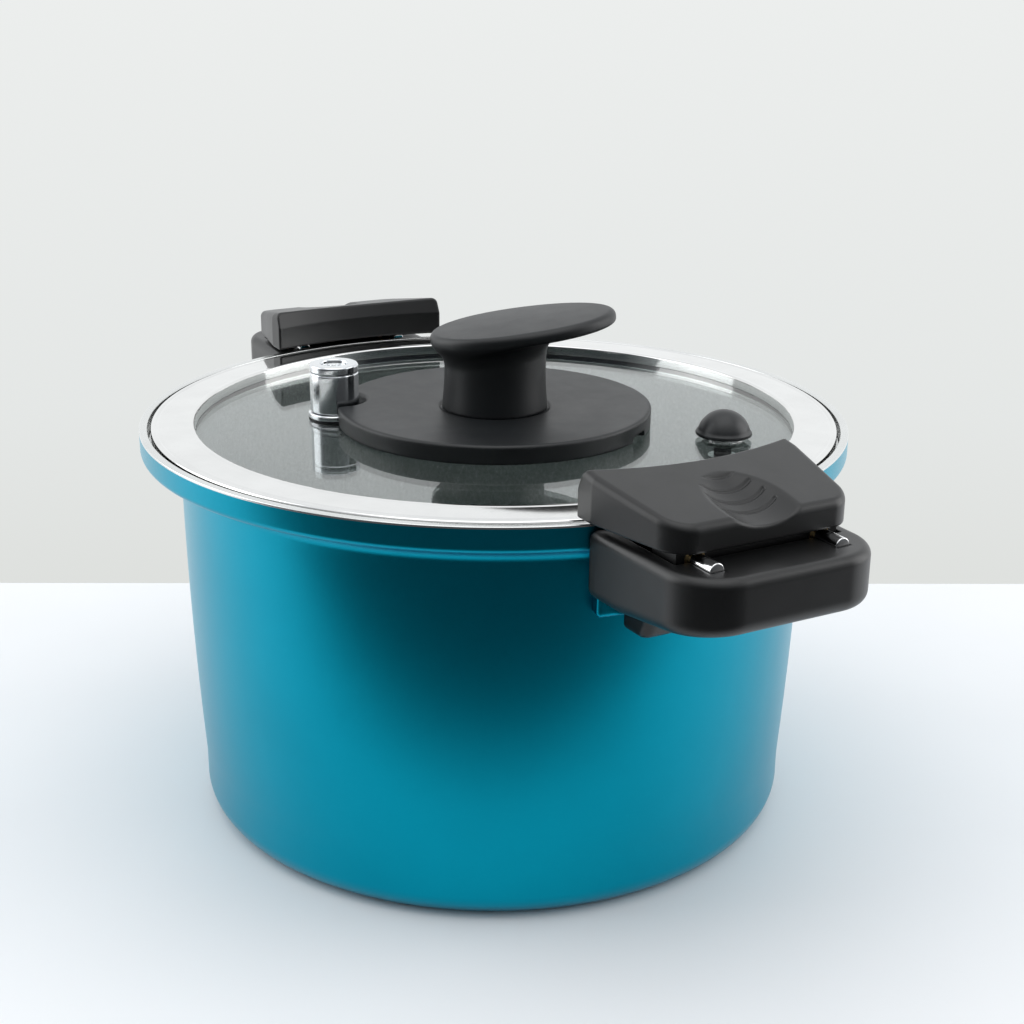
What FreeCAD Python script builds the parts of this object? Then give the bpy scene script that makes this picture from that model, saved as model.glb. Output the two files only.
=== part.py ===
import FreeCAD, Part
import math
import os

import Sketcher

Vector = FreeCAD.Vector

# Stovetop pressure cooker, millimetres.  The origin is the middle of the base, +Z is up, the
# two side handles lie along X and the front handle is on +X.  Each size below is one cell of
# the spreadsheet; every piece is bound to those cells through Size.

doc = FreeCAD.newDocument("pressure_cooker")
sheet = doc.addObject("Spreadsheet::Sheet", "Sizes")

SIZES = [
    # pot
    ("pot_height", 148.0, "base plane to the top of the rim"),
    ("rim_radius", 130.0, "outside of the rim"),
    ("rim_lip", 2.9, "bright ring between the lid recess and the outside"),
    ("rim_wall", 6.2, "straight outer wall of the rim"),
    ("rim_round", 2.4, "round under the outer wall of the rim"),
    ("rim_edge", 0.5, "small rounds at the top of the rim"),
    ("step_depth", 5.6, "rim top down to the narrow step under the lid's skirt"),
    ("step_width", 2.8, "width of that step"),
    ("seat_depth", 9.0, "rim top down to the ledge that the lid gasket rests on"),
    ("ledge_thick", 4.2, "metal under the gasket ledge"),
    ("throat_round", 7.0, "hollow round between the body and the rim"),
    ("rim_overhang", 14.0, "rim beyond the side wall under it"),
    ("body_draft", 3.6, "how much narrower the body is at the base corner"),
    ("belly_radius", 2500.0, "radius of the slightly bowed side"),
    ("wall", 4.0, "side wall"),
    ("floor_thick", 6.0, "base plane to the inner floor"),
    ("corner_round", 16.0, "outer round between side and base"),
    ("foot_gap", 0.3, "how far the cast base stays above the base plane"),
    ("disc_radius", 90.0, "induction disc"),
    ("disc_thick", 3.0, "induction disc"),
    ("disc_fit", 0.1, "clearance round and above the induction disc"),
    # cast lugs that carry the handles
    ("lug_reach", 5.2, "lug face outside the body"),
    ("lug_angle", 26.0, "arc that a lug covers, degrees"),
    ("lug_top", 14.5, "rim top down to the top of a lug"),
    ("lug_tall", 20.5, "height of a lug"),
    ("screw_spread", 20.0, "between the two screws of one handle"),
    ("screw_drop", 26.5, "rim top down to the handle screws"),
    ("screw_radius", 2.4, "handle screw shank"),
    ("screw_bite", 5.0, "length of thread in the lug"),
    # handles
    ("handle_drop", 1.5, "rim top down to the top of a handle"),
    ("handle_long", 51.0, "rim to the outer end of a handle"),
    ("handle_half", 36.0, "half width of a handle beside the pot"),
    ("handle_narrow", 1.5, "narrowing of the half width towards the corners"),
    ("handle_corner", 17.0, "plan round of the outer corners"),
    ("handle_thick", 22.5, "thickness beside the pot"),
    ("handle_thin", 17.5, "thickness at the outer end"),
    ("handle_edge", 2.4, "rounds along the top and bottom edges"),
    ("handle_gap", 0.6, "air between rim and handle"),
    ("handle_seat", 0.3, "air between lug face and handle boss"),
    ("boss_half", 19.0, "half width of the boss under a handle"),
    ("boss_drop", 15.0, "boss below the underside of the handle"),
    ("boss_reach", 18.0, "boss along X from the lug face"),
    ("boss_taper", 8.0, "how far the foot of the boss draws back towards the pot"),
    ("bore_slack", 0.3, "clearance round the handle screws"),
    ("head_radius", 4.6, "handle screw head"),
    ("head_tall", 3.2, "handle screw head"),
    ("washer_radius", 5.2, "handle washer"),
    ("washer_thick", 1.0, "handle washer"),
    ("head_sink", 8.0, "depth of the counterbore over the screw head"),
    # guide rods
    ("rod_radius", 2.5, "guide rod"),
    ("rod_spread", 45.0, "between the two rods of one handle"),
    ("rod_gap", 2.5, "rim to the inner rod ends"),
    ("rod_long", 39.5, "guide rod"),
    ("rod_fit", 0.05, "clearance round a rod in its groove"),
    # slide locks
    ("lock_travel", 9.0, "slide from drawn back to closed"),
    ("lock_rise", 1.7, "rim top up to the underside of a lock"),
    ("lock_tall", 16.8, "height of a lock cover"),
    ("lock_clear", 1.7, "air between the lid edge and a drawn back lock"),
    ("lock_half", 38.2, "half width of a lock cover"),
    ("lock_long", 35.5, "rim to the outer face of a drawn back lock cover"),
    ("lock_corner", 9.0, "plan round of the outer corners of a lock cover"),
    ("lock_narrow", 6.5, "narrowing of the half width towards the outer corners"),
    ("lock_slope", 7.8, "fall of the top from the inner corners to the outer face"),
    ("lock_facet", 2.6, "how far the upper inner facet leans back"),
    ("lock_crease", 9.3, "underside up to the crease of the inner face"),
    ("lock_edge", 1.6, "rounds along the top of a lock cover"),
    ("lock_wall", 3.0, "inner wall of the hollow lock cover"),
    ("lock_side", 10.0, "side walls of the hollow lock cover at its inner corners"),
    ("lock_end", 4.0, "outer wall of the hollow lock cover"),
    ("lock_hollow", 3.4, "depth of the hollow from below"),
    ("thumb_radius", 23.0, "radius of the thumb recess across the handle"),
    ("thumb_dip", 3.8, "depth of the thumb recess at its outer end"),
    ("thumb_gap", 6.0, "rim to the inner tip of the thumb recess"),
    ("plate_thick", 2.5, "carriage plate inside the lock cover"),
    ("plate_fit", 0.2, "clearance round the carriage plate"),
    ("runner_long", 12.0, "carriage block along the rods"),
    ("runner_gap", 31.0, "rim to the outer face of a drawn back carriage"),
    ("runner_deep", 5.0, "carriage block below the rod axis"),
    ("runner_side", 6.5, "carriage block outside the rod axis"),
    ("well_clear", 0.8, "air round the carriage block in the handle"),
    ("bush_wall", 1.0, "wall of the bushes on the rods"),
    ("bush_fit", 0.06, "running clearance of the bushes on the rods"),
    ("post_radius", 3.4, "screw posts inside the lock cover"),
    ("post_spread", 20.0, "between the two carriage screws"),
    ("cover_screw_radius", 1.5, "carriage screw shank"),
    ("cover_screw_head", 2.8, "carriage screw head radius"),
    ("cover_screw_long", 9.0, "carriage screw under its head"),
    # detent under each carriage
    ("ball_radius", 2.0, "detent ball"),
    ("ball_proud", 1.2, "ball above the floor of the well"),
    ("spring_radius", 1.45, "mean radius of the detent spring"),
    ("spring_wire", 0.35, "wire radius of the detent spring"),
    ("spring_long", 7.0, "detent spring"),
    ("spring_turns", 5.0, "turns of the detent spring"),
    ("pit_fit", 0.15, "clearance of ball and spring in their bore"),
    # lid
    ("lid_play", 1.1, "air between lid edge and recess wall"),
    ("band_rise", 0.5, "top of the lid band above the rim"),
    ("band_width", 15.6, "flat top of the lid band"),
    ("band_sheet", 1.0, "sheet of the lid band"),
    ("band_roll", 1.4, "rolled outer edge of the band"),
    ("band_skirt", 5.6, "height of the outer skirt of the band"),
    ("glass_drop", 3.5, "rim top down to the top of the glass"),
    ("glass_thick", 4.0, "tempered glass"),
    ("glass_hidden", 7.0, "glass edge hidden under the band"),
    ("glass_edge", 0.8, "rounds on the glass edge"),
    ("gasket_lift", 0.3, "air between gasket and ledge"),
    ("gasket_fit", 0.15, "clearance of the gasket round the glass"),
    # knob
    ("plate_radius", 58.4, "round foot plate of the knob"),
    ("plate_tall", 6.6, "edge height of the foot plate"),
    ("plate_dish", 1.2, "fall of the foot plate's top towards the stem"),
    ("plate_edge", 1.3, "round on the rim of the foot plate"),
    ("plate_flat", 42.0, "radius where the dish meets the outer ring"),
    ("seal_thick", 0.5, "silicone seal under the foot plate"),
    ("seal_radius", 15.0, "silicone seal under the foot plate"),
    ("bite_radius", 11.6, "bite in the foot plate round the valve"),
    ("stem_radius", 19.7, "stem of the knob"),
    ("stem_seam", 0.3, "stem sunk into its seat on the foot plate"),
    ("cap_long", 34.0, "half length of the oval cap"),
    ("cap_wide", 25.8, "half width of the oval cap"),
    ("cap_rise", 31.4, "foot plate to the widest line of the cap"),
    ("cap_shift", 10.6, "cap centre beyond the stem axis"),
    ("cap_tilt", 8.3, "upward tilt of the cap, degrees"),
    ("cap_turn", 60.0, "direction of the cap's high end, degrees"),
    ("cap_thick", 8.6, "thickness of the cap at its rim"),
    ("insert_radius", 6.0, "threaded insert in the stem"),
    ("insert_long", 16.0, "threaded insert in the stem"),
    ("bolt_radius", 3.0, "knob screw shank"),
    ("bolt_head", 6.5, "knob screw head radius"),
    ("bolt_head_tall", 3.6, "knob screw head"),
    ("bolt_washer", 10.0, "washer radius under the glass"),
    ("bolt_washer_thick", 1.5, "washer under the glass"),
    ("hole_slack", 0.4, "clearance of fittings in the glass holes"),
    # pressure valve
    ("vent_reach", 60.2, "pot axis to the pressure valve"),
    ("vent_angle", -122.0, "direction of the pressure valve, degrees"),
    ("vent_flange", 9.9, "flange radius of the vent pipe"),
    ("vent_flange_tall", 2.0, "flange height of the vent pipe"),
    ("vent_seal_thick", 0.5, "seal between flange and glass"),
    ("vent_thread", 5.0, "threaded part of the vent pipe"),
    ("vent_bore", 1.6, "steam bore"),
    ("vent_nose", 3.4, "upper part of the vent pipe"),
    ("vent_nose_tall", 9.0, "upper part of the vent pipe"),
    ("nut_radius", 8.5, "nut under the glass, across corners"),
    ("nut_tall", 4.0, "nut under the glass"),
    ("weight_radius", 9.1, "pressure weight"),
    ("weight_tall", 18.0, "pressure weight"),
    ("weight_seat", 0.3, "air between weight and flange"),
    ("weight_chamfer", 1.1, "bevel round the top of the weight"),
    ("weight_fit", 0.1, "running clearance of the weight on its pipe"),
    ("weight_cup", 5.2, "radius of the cup in the top of the weight"),
    ("weight_cup_deep", 1.6, "depth of the cup in the top of the weight"),
    ("weight_port", 0.9, "radius of the steam ports in the cup"),
    ("weight_port_ring", 3.3, "radius of the ring of steam ports"),
    # safety valve
    ("plug_reach", 85.8, "pot axis to the safety valve"),
    ("plug_angle", 47.0, "direction of the safety valve, degrees"),
    ("plug_radius", 10.2, "dome of the safety plug"),
    ("plug_tall", 8.0, "dome of the safety plug"),
    ("plug_lip", 1.2, "straight lip at the foot of the dome"),
    ("plug_air", 0.3, "air between plug and seat ring"),
    ("plug_stem", 3.2, "stem of the safety plug"),
    ("plug_travel", 3.5, "how far the plug lifts"),
    ("seat_radius", 7.6, "flange of the seat ring"),
    ("seat_flange", 1.0, "flange thickness of the seat ring"),
    ("seat_sleeve", 5.0, "sleeve radius of the seat ring"),
    ("seat_foot", 1.6, "sleeve below the glass"),
    ("stem_fit", 0.1, "running clearance of the stem"),
    ("clip_radius", 5.4, "retaining clip on the stem"),
    ("clip_thick", 1.2, "retaining clip on the stem"),
    ("stem_tail", 1.0, "stem below the clip"),
]


class Size:
    """A length or an angle: its number now, and the expression that keeps it up to date."""

    def __init__(self, number, text):
        self.number = number
        self.text = text

    def join(self, other, sign, number):
        right = other.text if isinstance(other, Size) else repr(float(other))
        return Size(number, "(%s %s %s)" % (self.text, sign, right))

    def __add__(self, other):
        return self.join(other, "+", self.number + plain(other))

    def __sub__(self, other):
        return self.join(other, "-", self.number - plain(other))

    def __mul__(self, other):
        return self.join(other, "*", self.number * plain(other))

    def __truediv__(self, other):
        return self.join(other, "/", self.number / plain(other))

    def __neg__(self):
        return self * -1.0


def plain(size):
    return size.number if isinstance(size, Size) else float(size)


def text_of(size):
    return size.text if isinstance(size, Size) else repr(float(size))


def cosine(size):
    return Size(math.cos(math.radians(size.number)), "cos(%s)" % size.text)


def sine(size):
    return Size(math.sin(math.radians(size.number)), "sin(%s)" % size.text)


def root(size):
    return Size(math.sqrt(size.number), "sqrt(%s)" % size.text)


class Sizes:
    """The spreadsheet's cells by name, each as a Size."""


s = Sizes()
for row, (alias, number, note) in enumerate(SIZES, start=1):
    sheet.set("A%d" % row, alias)
    sheet.set("B%d" % row, str(number))
    sheet.set("C%d" % row, note)
    sheet.setAlias("B%d" % row, alias)
doc.recompute()
for alias, number, note in SIZES:
    setattr(s, alias, Size(float(getattr(sheet, alias)), "Sizes.%s" % alias))

ZERO = Size(0.0, "0.0")


# ---------------------------------------------------------------- building blocks

def bind(feature, name, size):
    """Sets a property and ties it to the sheet."""
    feature.setExpression(name, text_of(size))


def place(feature, x=None, y=None, z=None, turn=None):
    """Moves a piece; turn is about +Z."""
    if turn is not None:
        feature.Placement = FreeCAD.Placement(Vector(), FreeCAD.Rotation(Vector(0, 0, 1), 0))
        bind(feature, "Placement.Rotation.Angle", turn)
    for name, size in (("x", x), ("y", y), ("z", z)):
        if size is not None:
            bind(feature, "Placement.Base.%s" % name, size)


def origin_plane(body, role):
    return [f for f in body.Origin.OriginFeatures if f.Role == role][0]


def make_body(label):
    body = doc.addObject("PartDesign::Body", label)
    body.Label = label
    return body


def make_sketch(body, name, role, offset=None):
    """An empty sketch on one of the body's own origin planes, moved along its normal by offset."""
    sketch = body.newObject("Sketcher::SketchObject", name)
    sketch.AttachmentSupport = [(origin_plane(body, role), "")]
    sketch.MapMode = "FlatFace"
    if offset is not None:
        bind(sketch, "AttachmentOffset.Base.z", offset)
    return sketch


def arc_between(start, end, radius):
    """The minor arc that turns left from start to end, or right where the radius is negative."""
    chord = end - start
    middle = (start + end) * 0.5
    half = chord.Length / 2.0
    rise = math.sqrt(max(radius * radius - half * half, 0.0))
    side = 1.0 if radius > 0 else -1.0
    normal = Vector(-chord.y, chord.x, 0).normalize()
    centre = middle + normal * (rise * side)
    bulge = middle - normal * ((abs(radius) - rise) * side)
    return Part.Arc(start, bulge, end), centre


def draw_outline(sketch, points):
    """A closed outline.  A point is (x, y) or (x, y, radius): a radius makes an arc from it to
    the next point, turning left where the sign is +1 and right where it is -1."""
    places = [Vector(plain(p[0]), plain(p[1]), 0) for p in points]
    edges = []
    for i, point in enumerate(points):
        start = places[i]
        end = places[(i + 1) % len(points)]
        if len(point) > 2:
            radius, sign = point[2]
            curve, centre = arc_between(start, end, plain(radius) * sign)
            index = sketch.addGeometry(curve, False)
            # a sketch keeps arcs anticlockwise, so a right hand arc begins at its second end
            first, last = (1, 2) if sign > 0 else (2, 1)
            add_size(sketch, Sketcher.Constraint("Radius", index, plain(radius)), radius)
        else:
            index = sketch.addGeometry(Part.LineSegment(start, end), False)
            first, last = 1, 2
        edges.append((index, first, last))
    for i, (index, first, last) in enumerate(edges):
        following, begin, _ = edges[(i + 1) % len(edges)]
        sketch.addConstraint(Sketcher.Constraint("Coincident", index, last, following, begin))
        pin(sketch, index, first, points[i][0], points[i][1])


def pin(sketch, index, end, x, y):
    """Holds one end of an edge, or a circle's centre, at x, y from the sketch's origin."""
    for kind, size in (("DistanceX", x), ("DistanceY", y)):
        number = plain(size)
        add_size(sketch, Sketcher.Constraint(kind, -1, 1, index, end, number), size)


def add_size(sketch, constraint, size):
    index = sketch.addConstraint(constraint)
    if isinstance(size, Size):
        sketch.setExpression("Constraints[%d]" % index, size.text)


def draw_circle(sketch, x, y, radius):
    circle = Part.Circle(Vector(plain(x), plain(y), 0), Vector(0, 0, 1), plain(radius))
    index = sketch.addGeometry(circle, False)
    add_size(sketch, Sketcher.Constraint("Radius", index, plain(radius)), radius)
    pin(sketch, index, 3, x, y)


def draw_box(sketch, x0, x1, y0, y1):
    draw_outline(sketch, [(x0, y0), (x1, y0), (x1, y1), (x0, y1)])


def revolve(body, name, points, kind="PartDesign::Revolution"):
    """Turns an outline of (radius, height) points about the body's own Z axis."""
    sketch = make_sketch(body, name + "_outline", "XZ_Plane")
    draw_outline(sketch, points)
    turned = body.newObject(kind, name)
    turned.Profile = sketch
    turned.ReferenceAxis = (sketch, ["V_Axis"])
    turned.Angle = 360.0
    return turned


def extrude(body, name, sketch, length, kind="PartDesign::Pad", reverse=False, both=False):
    feature = body.newObject(kind, name)
    feature.Profile = sketch
    feature.Reversed = reverse
    feature.Midplane = both
    bind(feature, "Length", length)
    return feature


def make_tube(label, outer, inner, height, axis_x=False):
    """A plain tube from its own origin, along Z or along X; returns the tube and its cylinders."""
    rings = []
    for name, radius in (("outside", outer), ("bore", inner)):
        ring = doc.addObject("Part::Cylinder", "%s_%s" % (label, name))
        bind(ring, "Radius", radius)
        bind(ring, "Height", height)
        rings.append(ring)
    tube = doc.addObject("Part::Cut", label)
    tube.Label = label
    tube.Base = rings[0]
    tube.Tool = rings[1]
    if axis_x:
        tube.Placement = FreeCAD.Placement(Vector(), FreeCAD.Rotation(Vector(0, 1, 0), 90))
    return tube


def turned_piece(label, points):
    body = make_body(label)
    revolve(body, label + "_turned", points)
    return body


def round_edges(body, name, base, radius, wanted):
    """Rounds the edges of base that wanted(edge) picks, to a radius from the sheet."""
    doc.recompute()
    names = ["Edge%d" % (i + 1) for i, e in enumerate(base.Shape.Edges) if wanted(e)]
    feature = body.newObject("PartDesign::Fillet", name)
    feature.Base = (base, names)
    bind(feature, "Radius", radius)
    return feature


def at_height(height):
    """Picks edges that lie in the level plane at height."""
    def wanted(edge):
        box = edge.BoundBox
        return abs(box.ZMin - plain(height)) < 0.01 and abs(box.ZMax - plain(height)) < 0.01
    return wanted


# ---------------------------------------------------------------- shared heights and radii

recess_radius = s.rim_radius - s.rim_lip
step_radius = recess_radius - s.step_width
body_radius = s.rim_radius - s.rim_overhang
seat_height = s.pot_height - s.seat_depth
body_low = body_radius - s.body_draft
body_top = seat_height - s.ledge_thick - s.throat_round
lug_face = body_radius + s.lug_reach
lug_high = s.pot_height - s.lug_top
screw_height = s.pot_height - s.screw_drop
handle_top = s.pot_height - s.handle_drop
handle_low = handle_top - s.handle_thick
handle_inner = s.rim_radius + s.handle_gap
handle_reach = s.rim_radius + s.handle_long
boss_face = lug_face + s.handle_seat
boss_low = handle_low - s.boss_drop
boss_end = boss_face + s.boss_reach
rod_half = s.rod_spread / 2
rod_start = s.rim_radius + s.rod_gap
lock_low = s.pot_height + s.lock_rise
lock_high = lock_low + s.lock_tall
lid_radius = recess_radius - s.lid_play
lock_inner = lid_radius + s.lock_clear
lock_reach = s.rim_radius + s.lock_long
runner_end = s.rim_radius + s.runner_gap
runner_start = runner_end - s.runner_long
runner_low = handle_top - s.runner_deep
runner_half = rod_half + s.runner_side
well_floor = runner_low - s.well_clear
well_start = runner_start - s.lock_travel - s.well_clear
well_end = runner_end + s.well_clear
well_half = runner_half + s.well_clear
band_top = s.pot_height + s.band_rise
band_inner = lid_radius - s.band_width
glass_top = s.pot_height - s.glass_drop
glass_low = glass_top - s.glass_thick
glass_radius = band_inner + s.glass_hidden
plate_low = glass_top + s.seal_thick
plate_high = plate_low + s.plate_tall
stem_low = plate_high - s.plate_dish - s.stem_seam
vent_x = s.vent_reach * cosine(s.vent_angle)
vent_y = s.vent_reach * sine(s.vent_angle)
plug_x = s.plug_reach * cosine(s.plug_angle)
plug_y = s.plug_reach * sine(s.plug_angle)
LEFT = 1
RIGHT = -1


# ---------------------------------------------------------------- pot

def make_pot_shell():
    """Cast aluminium pot: bowed side, gasket ledge inside the rim, two lugs for the handles."""
    body = make_body("pot_shell")
    disc_hole = s.disc_radius + s.disc_fit
    inner_round = s.corner_round - 1
    ledge_under = seat_height - s.ledge_thick
    rim_low = s.pot_height - s.rim_wall
    outline = [
        (ZERO, s.disc_thick + s.disc_fit),
        (disc_hole, s.disc_thick + s.disc_fit),
        (disc_hole, s.foot_gap),
        (body_low - s.corner_round, s.foot_gap, (s.corner_round, LEFT)),
        (body_low, s.foot_gap + s.corner_round, (s.belly_radius, LEFT)),
        (body_radius, body_top, (s.throat_round, RIGHT)),
        (body_radius + s.throat_round, ledge_under),
        (s.rim_radius - s.rim_round, rim_low - s.rim_round, (s.rim_round, LEFT)),
        (s.rim_radius, rim_low),
        (s.rim_radius, s.pot_height - s.rim_edge, (s.rim_edge, LEFT)),
        (s.rim_radius - s.rim_edge, s.pot_height),
        (recess_radius + s.rim_edge, s.pot_height, (s.rim_edge, LEFT)),
        (recess_radius, s.pot_height - s.rim_edge),
        (recess_radius, s.pot_height - s.step_depth),
        (step_radius, s.pot_height - s.step_depth),
        (step_radius, seat_height),
        (body_radius - s.wall, seat_height),
        (body_radius - s.wall, body_top, (s.belly_radius, RIGHT)),
        (body_low - s.wall, s.floor_thick + inner_round, (inner_round, RIGHT)),
        (body_low - s.wall - inner_round, s.floor_thick),
        (ZERO, s.floor_thick),
    ]
    revolve(body, "pot_wall", outline)

    lug_sketch = make_sketch(body, "lug_outline", "XZ_Plane")
    draw_box(lug_sketch, body_radius - s.wall / 2, lug_face, lug_high - s.lug_tall, lug_high)
    lug = body.newObject("PartDesign::Revolution", "lug")
    lug.Profile = lug_sketch
    lug.ReferenceAxis = (lug_sketch, ["V_Axis"])
    lug.Midplane = True
    bind(lug, "Angle", s.lug_angle)

    hole_sketch = make_sketch(body, "lug_hole_circles", "YZ_Plane", lug_face - s.screw_bite)
    for side in (1, -1):
        draw_circle(hole_sketch, s.screw_spread / 2 * side, screw_height, s.screw_radius)
    holes = extrude(body, "lug_holes", hole_sketch, s.lug_reach * 4, "PartDesign::Pocket", reverse=True)

    pair = body.newObject("PartDesign::PolarPattern", "lug_pair")
    pair.Originals = [lug, holes]
    pair.Axis = (lug_sketch, ["V_Axis"])
    pair.Angle = 360.0
    pair.Occurrences = 2
    body.Tip = pair


def make_induction_disc():
    """Steel disc set in the base; its underside is the plane the pot stands on."""
    turned_piece("induction_disc", [
        (ZERO, ZERO),
        (s.disc_radius, ZERO),
        (s.disc_radius, s.disc_thick),
        (ZERO, s.disc_thick),
    ])


# ---------------------------------------------------------------- handles and slide locks

def plan_outline(sketch, inner, half, narrow, reach, corner):
    """Plan of a handle or lock: hollow inner edge round the pot, straight sides, round corners."""
    root_x = root(inner * inner - half * half)
    tip = half - narrow
    draw_outline(sketch, [
        (root_x, -half),
        (reach - corner, -tip, (corner, LEFT)),
        (reach, -(tip - corner)),
        (reach, tip - corner, (corner, LEFT)),
        (reach - corner, tip),
        (root_x, half, (inner, RIGHT)),
    ])


def make_handle(side, turn):
    """Moulded side handle: slab beside the rim, boss against the lug, rod grooves and a well."""
    label = side + "_handle"
    body = make_body(label)
    plan = make_sketch(body, label + "_plan", "XY_Plane", handle_low)
    plan_outline(plan, handle_inner, s.handle_half, s.handle_narrow, handle_reach, s.handle_corner)
    slab = extrude(body, label + "_slab", plan, s.handle_thick)

    # the underside rises towards the outer end
    wedge = make_sketch(body, label + "_wedge_outline", "XZ_Plane")
    draw_outline(wedge, [
        (boss_end, handle_low - 1),
        (handle_reach + 1, handle_low - 1),
        (handle_reach + 1, handle_top - s.handle_thin),
        (boss_end, handle_low),
    ])
    slab = extrude(body, label + "_wedge", wedge, s.handle_half * 3, "PartDesign::Pocket", both=True)
    slab = round_edges(body, label + "_top_round", slab, s.handle_edge, at_height(handle_top))

    boss = make_sketch(body, label + "_boss_plan", "XY_Plane", boss_low)
    draw_box(boss, lug_face - s.lug_reach, boss_end, -s.boss_half, s.boss_half)
    extrude(body, label + "_boss", boss, lug_high - boss_low)
    taper = make_sketch(body, label + "_taper_outline", "XZ_Plane")
    draw_outline(taper, [
        (boss_end - s.boss_taper, boss_low),
        (boss_end - s.boss_taper, boss_low - 1),
        (boss_end + 1, boss_low - 1),
        (boss_end + 1, handle_low),
        (boss_end, handle_low),
    ])
    extrude(body, label + "_taper", taper, s.boss_half * 3, "PartDesign::Pocket", both=True)
    revolve(body, label + "_pot_clearance", [
        (ZERO, boss_low - 1),
        (boss_face, boss_low - 1),
        (boss_face, s.pot_height),
        (ZERO, s.pot_height),
    ], "PartDesign::Groove")

    well = make_sketch(body, label + "_well_plan", "XY_Plane", well_floor)
    draw_box(well, well_start, well_end, -well_half, well_half)
    extrude(body, label + "_well", well, s.handle_thick, "PartDesign::Pocket", reverse=True)

    grooves = make_sketch(body, label + "_groove_circles", "YZ_Plane", rod_start)
    for way in (1, -1):
        draw_circle(grooves, rod_half * way, handle_top, s.rod_radius + s.rod_fit)
    extrude(body, label + "_grooves", grooves, s.rod_long, "PartDesign::Pocket", reverse=True)

    pit = make_sketch(body, label + "_pit_circle", "XY_Plane", well_floor - pit_depth())
    draw_circle(pit, detent_x(), ZERO, s.ball_radius + s.pit_fit)
    extrude(body, label + "_pit", pit, s.handle_thick * 2, "PartDesign::Pocket", reverse=True)

    bores = make_sketch(body, label + "_bore_circles", "YZ_Plane", body_radius)
    heads = make_sketch(body, label + "_head_circles", "YZ_Plane", boss_end - s.head_sink)
    for way in (1, -1):
        y = s.screw_spread / 2 * way
        draw_circle(bores, y, screw_height, s.screw_radius + s.bore_slack)
        draw_circle(heads, y, screw_height, s.washer_radius + s.bore_slack)
    extrude(body, label + "_bores", bores, s.boss_reach * 2, "PartDesign::Pocket", reverse=True)
    last = extrude(body, label + "_heads", heads, handle_reach, "PartDesign::Pocket", reverse=True)
    body.Tip = last
    place(body, turn=turn)


def detent_x():
    """The ball stands under the middle of the drawn back carriage's inner dimple."""
    return runner_start + s.ball_radius + 1


def pit_depth():
    return s.spring_long + s.ball_radius * 2 - s.ball_proud


def make_guide_rods(side, turn):
    """Two steel rods, half sunk in the handle's top, that carry the lock."""
    label = side + "_guide_rods"
    rods = []
    for name, way in (("left", 1), ("right", -1)):
        rod = doc.addObject("Part::Cylinder", "%s_%s_rod" % (side, name))
        bind(rod, "Radius", s.rod_radius)
        bind(rod, "Height", s.rod_long)
        rod.Placement = FreeCAD.Placement(Vector(), FreeCAD.Rotation(Vector(0, 1, 0), 90))
        place(rod, rod_start, rod_half * way, handle_top)
        rods.append(rod)
    pair = doc.addObject("Part::Compound", label)
    pair.Label = label
    pair.Links = rods
    place(pair, turn=turn)


def make_handle_screws(side, turn):
    """Two socket screws and two washers that hold the handle's boss to the lug."""
    washer_x = boss_end - s.head_sink
    screws = []
    washers = []
    for name, way in (("left", 1), ("right", -1)):
        y = s.screw_spread / 2 * way
        head_x = washer_x + s.washer_thick
        shank = doc.addObject("Part::Cylinder", "%s_%s_shank" % (side, name))
        bind(shank, "Radius", s.screw_radius)
        shank_start = lug_face - s.screw_bite + s.bore_slack
        bind(shank, "Height", head_x - shank_start)
        head = doc.addObject("Part::Cylinder", "%s_%s_head" % (side, name))
        bind(head, "Radius", s.head_radius)
        bind(head, "Height", s.head_tall)
        socket = doc.addObject("Part::Prism", "%s_%s_socket" % (side, name))
        socket.Polygon = 6
        bind(socket, "Circumradius", s.screw_radius)
        bind(socket, "Height", s.head_tall)
        for piece, x in ((shank, shank_start), (head, head_x), (socket, head_x + s.head_tall / 3)):
            piece.Placement = FreeCAD.Placement(Vector(), FreeCAD.Rotation(Vector(0, 1, 0), 90))
            place(piece, x, y, screw_height)
        whole = doc.addObject("Part::Fuse", "%s_%s_blank" % (side, name))
        whole.Base = shank
        whole.Tool = head
        screw = doc.addObject("Part::Cut", "%s_%s_screw" % (side, name))
        screw.Base = whole
        screw.Tool = socket
        screws.append(screw)

        washer = make_tube("%s_%s_washer" % (side, name), s.washer_radius,
                           s.screw_radius + s.bore_slack / 2, s.washer_thick, axis_x=True)
        place(washer, washer_x, y, screw_height)
        washers.append(washer)
    for label, pieces in ((side + "_handle_screws", screws), (side + "_handle_washers", washers)):
        group = doc.addObject("Part::Compound", label)
        group.Label = label
        group.Links = pieces
        place(group, turn=turn)


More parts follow.
